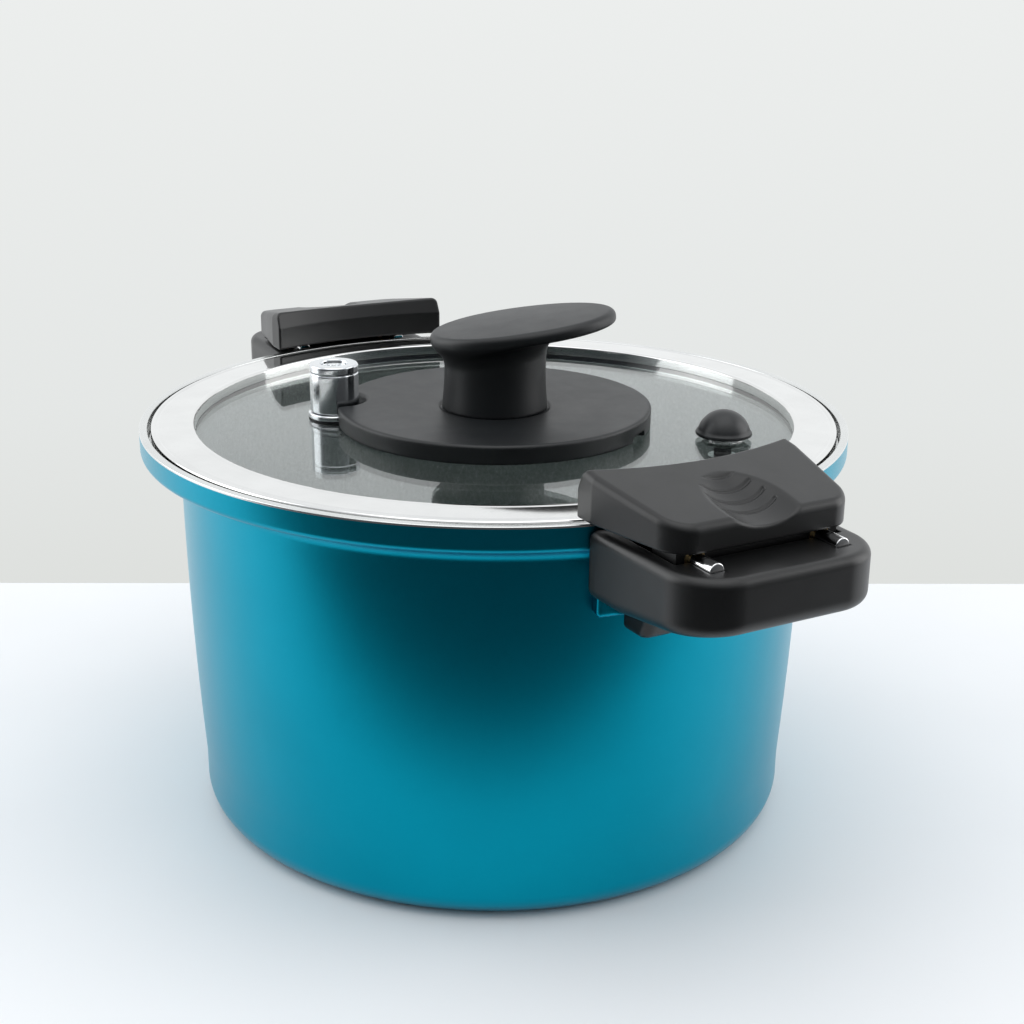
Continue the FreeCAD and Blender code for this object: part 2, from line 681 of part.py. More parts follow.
def make_lock_cover(side, turn):
    """Hollow sliding cover: hollow inner face round the lid, thumb recess in its top."""
    label = side + "_lock_cover"
    body = make_body(label + "_block")
    plan = make_sketch(body, label + "_plan", "XY_Plane", lock_low)
    plan_outline(plan, lock_inner, s.lock_half, s.lock_narrow, lock_reach, s.lock_corner)
    extrude(body, label + "_pad", plan, s.lock_tall)
    fall = make_sketch(body, label + "_fall_outline", "XZ_Plane")
    draw_outline(fall, [
        (lock_corner_x(), lock_high),
        (lock_reach, lock_high - s.lock_slope),
        (lock_reach + 1, lock_high - s.lock_slope),
        (lock_reach + 1, lock_high + 1),
        (lock_corner_x(), lock_high + 1),
    ])
    block = extrude(body, label + "_fall", fall, s.lock_half * 3, "PartDesign::Pocket", both=True)
    round_edges(body, label + "_round", block, s.lock_edge, on_lock_top)
    revolve(body, label + "_facet", [
        (lock_inner - 5, lock_low + s.lock_crease),
        (lock_inner, lock_low + s.lock_crease),
        (lock_inner + s.lock_facet, lock_high),
        (lock_inner + s.lock_facet, lock_high + 5),
        (lock_inner - 5, lock_high + 5),
    ], "PartDesign::Groove")

    hollow = make_sketch(body, label + "_hollow_plan", "XY_Plane", lock_low + s.lock_hollow)
    draw_box(hollow, hollow_start(), hollow_end(), -hollow_half(), hollow_half())
    extrude(body, label + "_hollow", hollow, s.lock_hollow * 2, "PartDesign::Pocket")

    posts = make_sketch(body, label + "_post_circles", "XY_Plane", lock_low + s.plate_thick)
    holes = make_sketch(body, label + "_hole_circles", "XY_Plane", lock_low)
    for way in (1, -1):
        draw_circle(posts, post_x(), s.post_spread / 2 * way, s.post_radius)
        draw_circle(holes, post_x(), s.post_spread / 2 * way, s.cover_screw_radius)
    extrude(body, label + "_posts", posts, s.lock_hollow - s.plate_thick)
    hole_depth = s.cover_screw_long + cover_head_z() - lock_low + s.plate_fit
    last = extrude(body, label + "_holes", holes, hole_depth, "PartDesign::Pocket", reverse=True)
    body.Tip = last

    # the thumb recess is a cylinder laid along the handle that sinks below the sloping top
    thumb_start = s.rim_radius + s.thumb_gap
    run = lock_reach - thumb_start
    top_fall = s.lock_slope / (lock_reach - lock_corner_x())
    slope = math.degrees(math.atan2(plain(top_fall * run + s.thumb_dip), plain(run)))
    thumb = doc.addObject("Part::Cylinder", label + "_thumb")
    bind(thumb, "Radius", s.thumb_radius)
    bind(thumb, "Height", run * 2)
    thumb.Placement = FreeCAD.Placement(Vector(), FreeCAD.Rotation(Vector(0, 1, 0), 90 + slope))
    start_fall = top_fall * (thumb_start - lock_corner_x())
    place(thumb, thumb_start, ZERO, lock_high - start_fall + s.thumb_radius)
    cover = doc.addObject("Part::Cut", label)
    cover.Label = label
    cover.Base = body
    cover.Tool = thumb
    place(cover, turn=turn)


def lock_corner_x():
    """Where the straight sides of a lock cover meet its hollow inner face."""
    return root(lock_inner * lock_inner - s.lock_half * s.lock_half)


def on_lock_top(edge):
    """Picks the edges of the sloping top of a lock cover."""
    start = plain(lock_corner_x())
    fall = plain(s.lock_slope) / (plain(lock_reach) - start)
    for share in (0.0, 0.5, 1.0):
        point = edge.valueAt(edge.FirstParameter + (edge.LastParameter - edge.FirstParameter) * share)
        if abs(point.z - (plain(lock_high) - (point.x - start) * fall)) > 0.01:
            return False
    return True


def hollow_start():
    return lock_inner + s.lock_wall + s.lock_facet


def hollow_end():
    return lock_reach - s.lock_end


def hollow_half():
    return s.lock_half - s.lock_side


def post_x():
    return runner_start + s.runner_long / 2


def cover_head_z():
    """Underside of the carriage screws' heads, sunk into the carriage block."""
    return runner_low + s.cover_screw_head


def make_lock_carriage(side, turn):
    """Plate inside the cover, with the block below it that rides on both rods."""
    label = side + "_lock_carriage"
    body = make_body(label)
    plan = make_sketch(body, label + "_plate_plan", "XY_Plane", lock_low)
    draw_box(plan, hollow_start() + s.plate_fit, hollow_end() - s.plate_fit,
             -(hollow_half() - s.plate_fit), hollow_half() - s.plate_fit)
    extrude(body, label + "_plate", plan, s.plate_thick)
    block = make_sketch(body, label + "_block_plan", "XY_Plane", runner_low)
    draw_box(block, runner_start, runner_end, -runner_half, runner_half)
    extrude(body, label + "_block", block, lock_low - runner_low)

    bores = make_sketch(body, label + "_bore_circles", "YZ_Plane", runner_start - 1)
    for way in (1, -1):
        draw_circle(bores, rod_half * way, handle_top, bush_radius())
    extrude(body, label + "_bores", bores, s.runner_long + 2, "PartDesign::Pocket", reverse=True)

    # a track for the detent ball, as long as the travel
    track = make_sketch(body, label + "_track_plan", "XY_Plane", runner_low)
    track_half = s.ball_radius
    draw_box(track, runner_start - 1, runner_end + 1, -track_half, track_half)
    extrude(body, label + "_track", track, s.ball_proud, "PartDesign::Pocket", reverse=True)

    screws = make_sketch(body, label + "_screw_circles", "XY_Plane", runner_low)
    heads = make_sketch(body, label + "_head_circles", "XY_Plane", runner_low)
    for way in (1, -1):
        y = s.post_spread / 2 * way
        draw_circle(screws, post_x(), y, s.cover_screw_radius + s.bore_slack)
        draw_circle(heads, post_x(), y, s.cover_screw_head + s.bore_slack)
    extrude(body, label + "_screw_bores", screws, s.handle_thick, "PartDesign::Pocket", reverse=True)
    body.Tip = extrude(body, label + "_screw_heads", heads, s.cover_screw_head,
                       "PartDesign::Pocket", reverse=True)
    place(body, turn=turn)


def bush_radius():
    return s.rod_radius + s.bush_fit + s.bush_wall


def make_lock_bushes(side, turn):
    """Two plain bearing bushes, fixed in the carriage and running on the rods."""
    label = side + "_lock_bushes"
    bushes = []
    for name, way in (("left", 1), ("right", -1)):
        tube = make_tube("%s_%s_bush" % (side, name), bush_radius(), s.rod_radius + s.bush_fit,
                         s.runner_long, axis_x=True)
        place(tube, runner_start, rod_half * way, handle_top)
        bushes.append(tube)
    pair = doc.addObject("Part::Compound", label)
    pair.Label = label
    pair.Links = bushes
    place(pair, turn=turn)


def make_carriage_screws(side, turn):
    """Two screws from below that hold the carriage in the cover."""
    label = side + "_carriage_screws"
    screws = []
    for name, way in (("left", 1), ("right", -1)):
        shank = doc.addObject("Part::Cylinder", "%s_%s_cover_shank" % (side, name))
        bind(shank, "Radius", s.cover_screw_radius)
        bind(shank, "Height", s.cover_screw_long)
        head = doc.addObject("Part::Cylinder", "%s_%s_cover_head" % (side, name))
        bind(head, "Radius", s.cover_screw_head)
        bind(head, "Height", s.cover_screw_head * 0.7)
        place(shank, post_x(), s.post_spread / 2 * way, cover_head_z())
        place(head, post_x(), s.post_spread / 2 * way, cover_head_z() - s.cover_screw_head * 0.7)
        screw = doc.addObject("Part::Fuse", "%s_%s_cover_screw" % (side, name))
        screw.Base = shank
        screw.Tool = head
        screws.append(screw)
    pair = doc.addObject("Part::Compound", label)
    pair.Label = label
    pair.Links = screws
    place(pair, turn=turn)


def make_detent(side, turn):
    """Ball and spring in a blind bore under the well; the ball runs in the carriage's track."""
    ball = doc.addObject("Part::Sphere", side + "_detent_ball")
    ball.Label = side + "_detent_ball"
    bind(ball, "Radius", s.ball_radius)
    way = -1 if plain(turn) else 1
    ball_z = well_floor + s.ball_proud - s.ball_radius
    place(ball, detent_x() * way, ZERO, ball_z)

    pitch = plain((s.spring_long - s.spring_wire * 2) / s.spring_turns)
    tall = pitch * plain(s.spring_turns)
    helix = Part.makeHelix(pitch, tall, plain(s.spring_radius))
    start = helix.Vertexes[0].Point
    section = Part.Wire(Part.makeCircle(plain(s.spring_wire), start, Vector(0, 1, 0)))
    wire = Part.Wire(helix.Edges).makePipeShell([section], True, True)
    spring = doc.addObject("Part::Feature", side + "_detent_spring")
    spring.Label = side + "_detent_spring"
    spring.Shape = wire
    spring.Placement = FreeCAD.Placement()
    place(spring, detent_x() * way, ZERO, ball_z - s.ball_radius - s.spring_long + s.spring_wire)


# ---------------------------------------------------------------- lid

def drilled(label, base, drills):
    """Cuts round holes (x, y, radius) down through a lid piece."""
    holes = []
    for i, (x, y, radius) in enumerate(drills):
        hole = doc.addObject("Part::Cylinder", "%s_hole_%d" % (label, i))
        bind(hole, "Radius", radius)
        bind(hole, "Height", s.pot_height)
        place(hole, x, y, s.pot_height / 2)
        holes.append(hole)
    group = doc.addObject("Part::MultiFuse", label + "_holes")
    group.Shapes = holes
    piece = doc.addObject("Part::Cut", label)
    piece.Label = label
    piece.Base = base
    piece.Tool = group
    return piece


def make_glass_panel():
    """Flat tempered glass with holes for the knob, the vent pipe and the safety valve."""
    edge = s.glass_edge
    blank = turned_piece("glass_blank", [
        (ZERO, glass_low),
        (glass_radius - edge, glass_low, (edge, LEFT)),
        (glass_radius, glass_low + edge),
        (glass_radius, glass_top - edge, (edge, LEFT)),
        (glass_radius - edge, glass_top),
        (ZERO, glass_top),
    ])
    drilled("glass_panel", blank, [
        (ZERO, ZERO, s.bolt_radius + s.hole_slack),
        (vent_x, vent_y, s.vent_thread + s.hole_slack),
        (plug_x, plug_y, s.seat_sleeve + s.hole_slack),
    ])


def make_lid_band():
    """Polished band: inner wall on the glass, flat top, rolled edge and a skirt outside."""
    sheet_inner = band_inner + s.band_sheet
    skirt_inner = lid_radius - s.band_sheet
    under = band_top - s.band_sheet
    skirt_low = band_top - s.band_skirt
    turned_piece("lid_band", [
        (band_inner, glass_top),
        (sheet_inner, glass_top),
        (sheet_inner, under),
        (skirt_inner, under),
        (skirt_inner, skirt_low),
        (lid_radius, skirt_low),
        (lid_radius, band_top - s.band_roll, (s.band_roll, LEFT)),
        (lid_radius - s.band_roll, band_top),
        (band_inner + s.band_sheet * 0.8, band_top, (s.band_sheet * 0.8, LEFT)),
        (band_inner, band_top - s.band_sheet * 0.8),
    ])


def make_lid_gasket():
    """Silicone gasket that clasps the glass edge inside the band and seals on the pot's ledge."""
    fit = s.gasket_fit
    inner = band_inner + s.band_sheet + fit
    outer = lid_radius - s.band_sheet - fit
    under = band_top - s.band_sheet - fit
    foot = seat_height + s.gasket_lift
    foot_outer = step_radius - s.lid_play / 2
    skirt_low = band_top - s.band_skirt
    turned_piece("lid_gasket", [
        (inner, glass_top + fit),
        (glass_radius + fit, glass_top + fit),
        (glass_radius + fit, glass_low - fit),
        (inner, glass_low - fit),
        (inner, foot),
        (foot_outer, foot),
        (foot_outer, skirt_low),
        (outer, skirt_low),
        (outer, under),
        (inner, under),
    ])


def make_knob_plate():
    """Round foot plate under the knob, dished towards the stem, with a bite round the valve."""
    edge = s.plate_edge
    blank = turned_piece("knob_plate_blank", [
        (ZERO, plate_low),
        (s.seal_radius + 1, plate_low),
        (s.seal_radius + 1, glass_top + s.gasket_fit),
        (s.plate_radius - edge / 2, glass_top + s.gasket_fit, (edge / 2, LEFT)),
        (s.plate_radius, glass_top + s.gasket_fit + edge / 2),
        (s.plate_radius, plate_high - edge, (edge, LEFT)),
        (s.plate_radius - edge, plate_high),
        (s.plate_flat, plate_high - s.plate_dish / 3),
        (s.stem_radius + s.stem_fit, plate_high - s.plate_dish),
        (s.stem_radius + s.stem_fit, stem_low),
        (ZERO, stem_low),
    ])
    drilled("knob_plate", blank, [
        (ZERO, ZERO, s.bolt_radius + s.hole_slack),
        (vent_x, vent_y, s.bite_radius),
    ])


def knob_section(name, long_half, wide_half, height, shift, tilt):
    """One oval section of the knob, shifted and tilted towards the cap's high end."""
    oval = doc.addObject("Part::Ellipse", name)
    bind(oval, "MajorRadius", long_half)
    bind(oval, "MinorRadius", wide_half)
    spin = FreeCAD.Rotation(Vector(0, 0, 1), plain(s.cap_turn))
    lean = FreeCAD.Rotation(Vector(0, 1, 0), -plain(tilt))
    oval.Placement = FreeCAD.Placement(Vector(), spin.multiply(lean))
    place(oval, shift * cosine(s.cap_turn), shift * sine(s.cap_turn), height)
    return oval


def make_knob():
    """Stem and oval cap in one moulding, lofted through oval sections, over a brass insert."""
    waist = s.stem_radius * 0.95
    widest = plate_high + s.cap_rise
    stem_top = widest - s.cap_thick
    rise = stem_top - stem_low
    tilt = s.cap_tilt
    half = s.cap_thick / 2
    sections = [
        ("knob_foot", s.stem_radius, s.stem_radius - 0.01, stem_low, ZERO, ZERO),
        ("knob_low", s.stem_radius * 0.98, s.stem_radius * 0.979, stem_low + rise * 0.2, ZERO, ZERO),
        ("knob_waist", waist, waist - 0.01, stem_low + rise * 0.5, s.cap_shift * 0.02, ZERO),
        ("knob_neck", waist * 1.06, waist * 1.04, stem_low + rise * 0.8, s.cap_shift * 0.1, tilt * 0.3),
        ("knob_flare", s.cap_long * 0.76, s.cap_wide * 0.86, stem_top + half * 0.25, s.cap_shift * 0.5,
         tilt * 0.8),
        ("knob_under", s.cap_long * 0.955, s.cap_wide * 0.955, widest - half * 0.62,
         s.cap_shift * 0.95, tilt),
        ("knob_wide", s.cap_long, s.cap_wide, widest, s.cap_shift, tilt),
        ("knob_over", s.cap_long * 0.965, s.cap_wide * 0.965, widest + half * 0.55, s.cap_shift, tilt),
    ]
    ovals = [knob_section(*section) for section in sections]
    loft = doc.addObject("Part::Loft", "knob_loft")
    loft.Sections = ovals
    loft.Solid = True
    loft.Ruled = False
    socket = doc.addObject("Part::Cylinder", "knob_socket")
    bind(socket, "Radius", s.insert_radius)
    bind(socket, "Height", s.insert_long)
    place(socket, ZERO, ZERO, stem_low)
    knob = doc.addObject("Part::Cut", "knob")
    knob.Label = "knob"
    knob.Base = loft
    knob.Tool = socket

    insert = make_tube("knob_insert", s.insert_radius, s.bolt_radius, s.insert_long)
    place(insert, ZERO, ZERO, stem_low)


def make_knob_fixing():
    """Screw and washer under the glass, seal ring between glass and foot plate."""
    washer_low = glass_low - s.bolt_washer_thick
    head_low = washer_low - s.bolt_head_tall
    bolt_end = stem_low + s.insert_long * 0.8
    blank = turned_piece("knob_screw_blank", [
        (ZERO, head_low),
        (s.bolt_head - 1, head_low, (Size(1.0, "1.0"), LEFT)),
        (s.bolt_head, head_low + 1),
        (s.bolt_head, washer_low),
        (s.bolt_radius, washer_low),
        (s.bolt_radius, bolt_end),
        (ZERO, bolt_end),
    ])
    slot = doc.addObject("Part::Box", "knob_screw_slot")
    bind(slot, "Length", s.bolt_head * 3)
    bind(slot, "Width", s.bolt_head_tall / 2)
    bind(slot, "Height", s.bolt_head_tall)
    place(slot, s.bolt_head * -1.5, s.bolt_head_tall / -4, head_low - s.bolt_head_tall / 2)
    screw = doc.addObject("Part::Cut", "knob_screw")
    screw.Label = "knob_screw"
    screw.Base = blank
    screw.Tool = slot

    turned_piece("knob_washer", [
        (s.bolt_radius + s.hole_slack / 2, washer_low),
        (s.bolt_washer, washer_low),
        (s.bolt_washer, glass_low),
        (s.bolt_radius + s.hole_slack / 2, glass_low),
    ])
    turned_piece("knob_seal", [
        (s.bolt_radius + s.hole_slack, glass_top),
        (s.seal_radius, glass_top),
        (s.seal_radius, plate_low),
        (s.bolt_radius + s.hole_slack, plate_low),
    ])


# ---------------------------------------------------------------- pressure valve

def flange_top():
    return glass_top + s.vent_seal_thick + s.vent_flange_tall


def make_vent():
    """Vent pipe with its flange on the glass, a seal above and a nut and washer below."""
    seal_top = glass_top + s.vent_seal_thick
    nose_top = flange_top() + s.vent_nose_tall
    washer_low = glass_low - s.washer_thick
    nut_low = washer_low - s.nut_tall
    thread_end = nut_low - s.washer_thick
    pieces = []
    pieces.append(turned_piece("vent_pipe", [
        (s.vent_bore, thread_end),
        (s.vent_thread, thread_end),
        (s.vent_thread, seal_top),
        (s.vent_flange, seal_top),
        (s.vent_flange, flange_top()),
        (s.vent_nose, flange_top()),
        (s.vent_nose, nose_top - s.weight_chamfer),
        (s.vent_nose - s.weight_chamfer, nose_top),
        (s.vent_bore, nose_top),
    ]))
    pieces.append(turned_piece("vent_seal", [
        (s.vent_thread + s.weight_fit, glass_top),
        (s.vent_flange, glass_top),
        (s.vent_flange, seal_top),
        (s.vent_thread + s.weight_fit, seal_top),
    ]))
    pieces.append(turned_piece("vent_washer", [
        (s.vent_thread + s.weight_fit, washer_low),
        (s.nut_radius + 1, washer_low),
        (s.nut_radius + 1, glass_low),
        (s.vent_thread + s.weight_fit, glass_low),
    ]))
    for piece in pieces:
        place(piece, vent_x, vent_y)

    hexagon = doc.addObject("Part::Prism", "vent_nut_blank")
    hexagon.Polygon = 6
    bind(hexagon, "Circumradius", s.nut_radius)
    bind(hexagon, "Height", s.nut_tall)
    place(hexagon, vent_x, vent_y, nut_low)
    hole = doc.addObject("Part::Cylinder", "vent_nut_hole")
    bind(hole, "Radius", s.vent_thread + s.weight_fit / 2)
    bind(hole, "Height", s.nut_tall)
    place(hole, vent_x, vent_y, nut_low)
    nut = doc.addObject("Part::Cut", "vent_nut")
    nut.Label = "vent_nut"
    nut.Base = hexagon
    nut.Tool = hole


def make_valve_weight():
    """Polished weight over the vent pipe: bored from below, cup with steam ports on top."""
    body = make_body("valve_weight")
    foot = flange_top() + s.weight_seat
    head = foot + s.weight_tall
    bore = s.vent_nose + s.weight_fit
    bore_top = flange_top() + s.vent_nose_tall + s.weight_seat
    cup_floor = head - s.weight_cup_deep
    turned = revolve(body, "weight_turned", [
        (ZERO, bore_top),
        (bore, bore_top),
        (bore, foot),
        (s.weight_radius - s.weight_chamfer / 2, foot),
        (s.weight_radius, foot + s.weight_chamfer / 2),
        (s.weight_radius, head - s.weight_chamfer),
        (s.weight_radius - s.weight_chamfer, head),
        (s.weight_cup, head),
        (s.weight_cup - s.weight_chamfer / 2, cup_floor),
        (ZERO, cup_floor),
    ])
    ports = make_sketch(body, "weight_port_circle", "XY_Plane", cup_floor + 1)
    draw_circle(ports, s.weight_port_ring, ZERO, s.weight_port)
    port = extrude(body, "weight_port", ports, s.weight_tall / 4, "PartDesign::Pocket")
    ring = body.newObject("PartDesign::PolarPattern", "weight_ports")
    ring.Originals = [port]
    ring.Axis = (turned.Profile[0], ["V_Axis"])
    ring.Angle = 360.0
    ring.Occurrences = 4
    body.Tip = ring
    place(body, vent_x, vent_y)


# ---------------------------------------------------------------- safety valve

def make_safety_valve():
    """Seat ring in the glass, rubber plug that lifts through it, clip below that stops it."""
    seat_top = glass_top + s.seat_flange
    sleeve_low = glass_low - s.seat_foot
    stem_hole = s.plug_stem + s.stem_fit
    dome_low = seat_top + s.plug_air
    clip_top = sleeve_low - s.plug_travel - s.plug_air
    clip_low = clip_top - s.clip_thick
    dome_radius = (s.plug_radius * s.plug_radius + s.plug_tall * s.plug_tall) / (s.plug_tall * 2)
    neck = s.plug_stem - s.stem_fit * 5
    pieces = []
    pieces.append(turned_piece("safety_seat", [
        (stem_hole, sleeve_low),
        (s.seat_sleeve, sleeve_low),
        (s.seat_sleeve, glass_top),
        (s.seat_radius, glass_top),
        (s.seat_radius, seat_top),
        (stem_hole, seat_top),
    ]))
    pieces.append(turned_piece("safety_plug", [
        (ZERO, clip_low - s.stem_tail),
        (s.plug_stem, clip_low - s.stem_tail),
        (s.plug_stem, clip_low),
        (neck, clip_low),
        (neck, clip_top),
        (s.plug_stem, clip_top),
        (s.plug_stem, dome_low),
        (s.plug_radius, dome_low),
        (s.plug_radius, dome_low + s.plug_lip, (dome_radius, LEFT)),
        (ZERO, dome_low + s.plug_lip + s.plug_tall),
    ]))
    pieces.append(turned_piece("safety_clip", [
        (neck + s.stem_fit, clip_low),
        (s.clip_radius, clip_low),
        (s.clip_radius, clip_top),
        (neck + s.stem_fit, clip_top),
    ]))
    for piece in pieces:
        place(piece, plug_x, plug_y)


# ---------------------------------------------------------------- the whole cooker

make_pot_shell()
make_induction_disc()
HALF_TURN = Size(180.0, "180.0")
for side, turn in (("front", ZERO), ("rear", HALF_TURN)):
    make_handle(side, turn)
    make_guide_rods(side, turn)
    make_handle_screws(side, turn)
    make_lock_cover(side, turn)
    make_lock_carriage(side, turn)
    make_lock_bushes(side, turn)
    make_carriage_screws(side, turn)
    make_detent(side, turn)
make_glass_panel()
make_lid_band()
make_lid_gasket()
make_knob_plate()
make_knob()
make_knob_fixing()
make_vent()
make_valve_weight()
make_safety_valve()

SIDE_NODES = ["handle", "guide_rods", "handle_screws", "handle_washers", "lock_cover", "lock_carriage",
              "lock_bushes", "carriage_screws", "detent_ball", "detent_spring"]
NODES = ["pot_shell", "induction_disc"]
for side in ("front", "rear"):
    NODES += ["%s_%s" % (side, name) for name in SIDE_NODES]
NODES += ["glass_panel", "lid_band", "lid_gasket", "knob_plate", "knob", "knob_insert", "knob_screw",
          "knob_washer", "knob_seal", "vent_pipe", "vent_seal", "vent_washer", "vent_nut",
          "valve_weight", "safety_seat", "safety_plug", "safety_clip"]

doc.recompute()
for feature in doc.Objects:
    if "Invalid" in feature.State or "Error" in feature.State:
        raise RuntimeError("%s failed: %s" % (feature.Label, feature.State))
os.makedirs("parts", exist_ok=True)
for node in NODES:
    found = doc.getObjectsByLabel(node)
    if len(found) != 1:
        raise RuntimeError("%d objects are called %s" % (len(found), node))
    shape = found[0].Shape
    if shape.isNull() or not shape.isValid() or not shape.Solids:
        raise RuntimeError("%s has no valid solid" % node)
for node in NODES:
    doc.getObjectsByLabel(node)[0].Shape.exportStep("parts/%s.step" % node)
print("wrote %d parts" % len(NODES))
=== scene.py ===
import math

import bpy
import numpy as np
from mathutils import Matrix, Vector


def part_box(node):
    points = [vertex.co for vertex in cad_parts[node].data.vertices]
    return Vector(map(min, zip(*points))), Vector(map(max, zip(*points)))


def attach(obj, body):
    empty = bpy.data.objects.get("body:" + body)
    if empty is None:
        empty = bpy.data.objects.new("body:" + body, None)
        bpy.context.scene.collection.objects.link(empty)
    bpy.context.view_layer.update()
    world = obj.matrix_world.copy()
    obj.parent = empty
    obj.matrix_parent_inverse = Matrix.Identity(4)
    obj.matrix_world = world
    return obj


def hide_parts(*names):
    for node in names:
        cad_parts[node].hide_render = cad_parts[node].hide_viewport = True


# Stovetop pressure cooker.  Lengths here are millimetres in the shared frame, and MM turns them into
# metres when a mesh is made.  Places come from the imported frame.
MM = 0.001

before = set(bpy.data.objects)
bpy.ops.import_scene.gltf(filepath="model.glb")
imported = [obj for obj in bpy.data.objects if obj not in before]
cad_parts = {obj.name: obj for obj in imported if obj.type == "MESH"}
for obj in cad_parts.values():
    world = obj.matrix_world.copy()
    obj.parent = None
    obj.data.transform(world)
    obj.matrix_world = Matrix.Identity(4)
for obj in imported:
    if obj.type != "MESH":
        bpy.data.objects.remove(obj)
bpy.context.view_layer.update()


# ---------------------------------------------------------------- sizes read from the frame

def node_box(node):
    """Lowest and highest corner of a CAD node, in millimetres."""
    low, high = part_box(node)
    return np.array(low) / MM, np.array(high) / MM


def half_span(node, axis):
    """Half of a CAD node's size along an axis."""
    low, high = node_box(node)
    return (high[axis] - low[axis]) / 2


POT_HIGH = node_box("pot_shell")[1]
RIM_TOP = POT_HIGH[2]
RIM_RADIUS = POT_HIGH[1]
BAND_LOW, BAND_HIGH = node_box("lid_band")
BAND_RADIUS = BAND_HIGH[1]
BAND_TOP = BAND_HIGH[2]
GLASS_TOP = node_box("glass_panel")[1][2]
HANDLE_LOW, HANDLE_HIGH = node_box("front_handle")
LOCK_LOW, LOCK_HIGH = node_box("front_lock_cover")
PLATE_LOW, PLATE_HIGH = node_box("knob_plate")
KNOB_LOW, KNOB_HIGH = node_box("knob")
WEIGHT_LOW, WEIGHT_HIGH = node_box("valve_weight")
PLUG_LOW, PLUG_HIGH = node_box("safety_plug")
ROD_LOW, ROD_HIGH = node_box("front_guide_rods")
WEIGHT_CENTRE = (WEIGHT_LOW + WEIGHT_HIGH) / 2
PLUG_CENTRE = (PLUG_LOW + PLUG_HIGH) / 2


# ---------------------------------------------------------------- mesh building

def make_object(name, vertices, faces, materials, face_material=None):
    """A smooth mesh object from millimetre vertices."""
    mesh = bpy.data.meshes.new(name)
    mesh.from_pydata((np.asarray(vertices, float) * MM).tolist(), [], [tuple(f) for f in faces])
    for item in materials:
        mesh.materials.append(item)
    mesh.polygons.foreach_set("use_smooth", [True] * len(mesh.polygons))
    if face_material is not None:
        mesh.polygons.foreach_set("material_index", [int(i) for i in face_material])
    mesh.validate()
    mesh.update()
    piece = bpy.data.objects.new(name, mesh)
    bpy.context.scene.collection.objects.link(piece)
    return piece


def finish_piece(piece, body, node):
    """Puts a piece on its body and the CAD node it stands for."""
    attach(piece, body)
    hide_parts(node)


# an arc takes at most this share of the shorter side next to its corner
LONGEST_SHARE = 0.49


def rounded_path(corners, step, closed=False):
    """Points along a path of (a, b, radius) corners, each rounded with an arc of its radius.

    Step is the turn in degrees from one point of an arc to the next.
    """
    count = len(corners)
    points = []
    for i, (a, b, radius) in enumerate(corners):
        here = np.array([a, b], float)
        if radius <= 0 or (not closed and i in (0, count - 1)):
            points.append(here)
            continue
        before = np.array(corners[i - 1][:2], float) - here
        after = np.array(corners[(i + 1) % count][:2], float) - here
        length_before = np.linalg.norm(before)
        length_after = np.linalg.norm(after)
        before /= length_before
        after /= length_after
        angle = math.acos(float(np.clip(before @ after, -1, 1)))
        longest = min(length_before, length_after) * LONGEST_SHARE
        reach = min(radius / math.tan(angle / 2), longest)
        radius = reach * math.tan(angle / 2)
        bisector = before + after
        centre = here + bisector / np.linalg.norm(bisector) * (radius / math.sin(angle / 2))
        start = here + before * reach - centre
        end = here + after * reach - centre
        turn = math.pi - angle
        steps = max(3, int(math.degrees(turn) / step) + 1)
        for k in range(steps + 1):
            share = k / steps
            mixed = start * math.sin((1 - share) * turn) + end * math.sin(share * turn)
            points.append(centre + mixed / math.sin(turn))
    return np.array(points)


def resample(points, longest):
    """Adds points so that no stretch is longer than longest."""
    out = [points[0]]
    for a, b in zip(points[:-1], points[1:]):
        pieces = max(1, int(math.ceil(np.linalg.norm(b - a) / longest)))
        for k in range(1, pieces + 1):
            out.append(a + (b - a) * k / pieces)
    return np.array(out)


def revolve(path, segments, closed=False, centre=(0.0, 0.0)):
    """Turns a path of (radius, height) about the vertical line through centre.

    Returns vertices, faces and, for each face, the number of its stretch of the path.
    """
    path = np.asarray(path, float)
    angles = np.linspace(0, 2 * math.pi, segments, endpoint=False)
    vertices = []
    rings = []
    for radius, height in path:
        turns = angles if radius > 1e-6 else angles[:1]
        first = len(vertices)
        rings.append([first + k % len(turns) for k in range(segments)])
        for angle in turns:
            vertices.append((centre[0] + radius * math.cos(angle),
                             centre[1] + radius * math.sin(angle), height))
    faces = []
    rows = []
    last = len(path) if closed else len(path) - 1
    for row in range(last):
        lower = rings[row]
        upper = rings[(row + 1) % len(path)]
        for k in range(segments):
            n = (k + 1) % segments
            corners = list(dict.fromkeys((lower[k], lower[n], upper[n], upper[k])))
            if len(corners) > 2:
                faces.append(tuple(corners))
                rows.append(row)
    return vertices, faces, rows


# ---- solids given by a distance function, negative inside, turned into an even quad mesh

def round_join(a, b, radius):
    """Union with a hollow round of radius."""
    u = np.maximum(radius - a, 0)
    v = np.maximum(radius - b, 0)
    return np.maximum(radius, np.minimum(a, b)) - np.hypot(u, v)


def round_meet(a, b, radius):
    """Intersection whose edge is rounded to radius."""
    u = np.maximum(radius + a, 0)
    v = np.maximum(radius + b, 0)
    return np.minimum(-radius, np.maximum(a, b)) + np.hypot(u, v)


TINY = 0.02
SETTLE_ROUNDS = 4
LEAST_SLOPE = 0.05


def gradient(field, p):
    """Slope of the field at each point, from its change over a tiny distance."""
    columns = []
    for axis in range(3):
        shift = np.zeros(3)
        shift[axis] = TINY
        columns.append((field(p + shift) - field(p - shift)) / (2 * TINY))
    return np.stack(columns, axis=1)


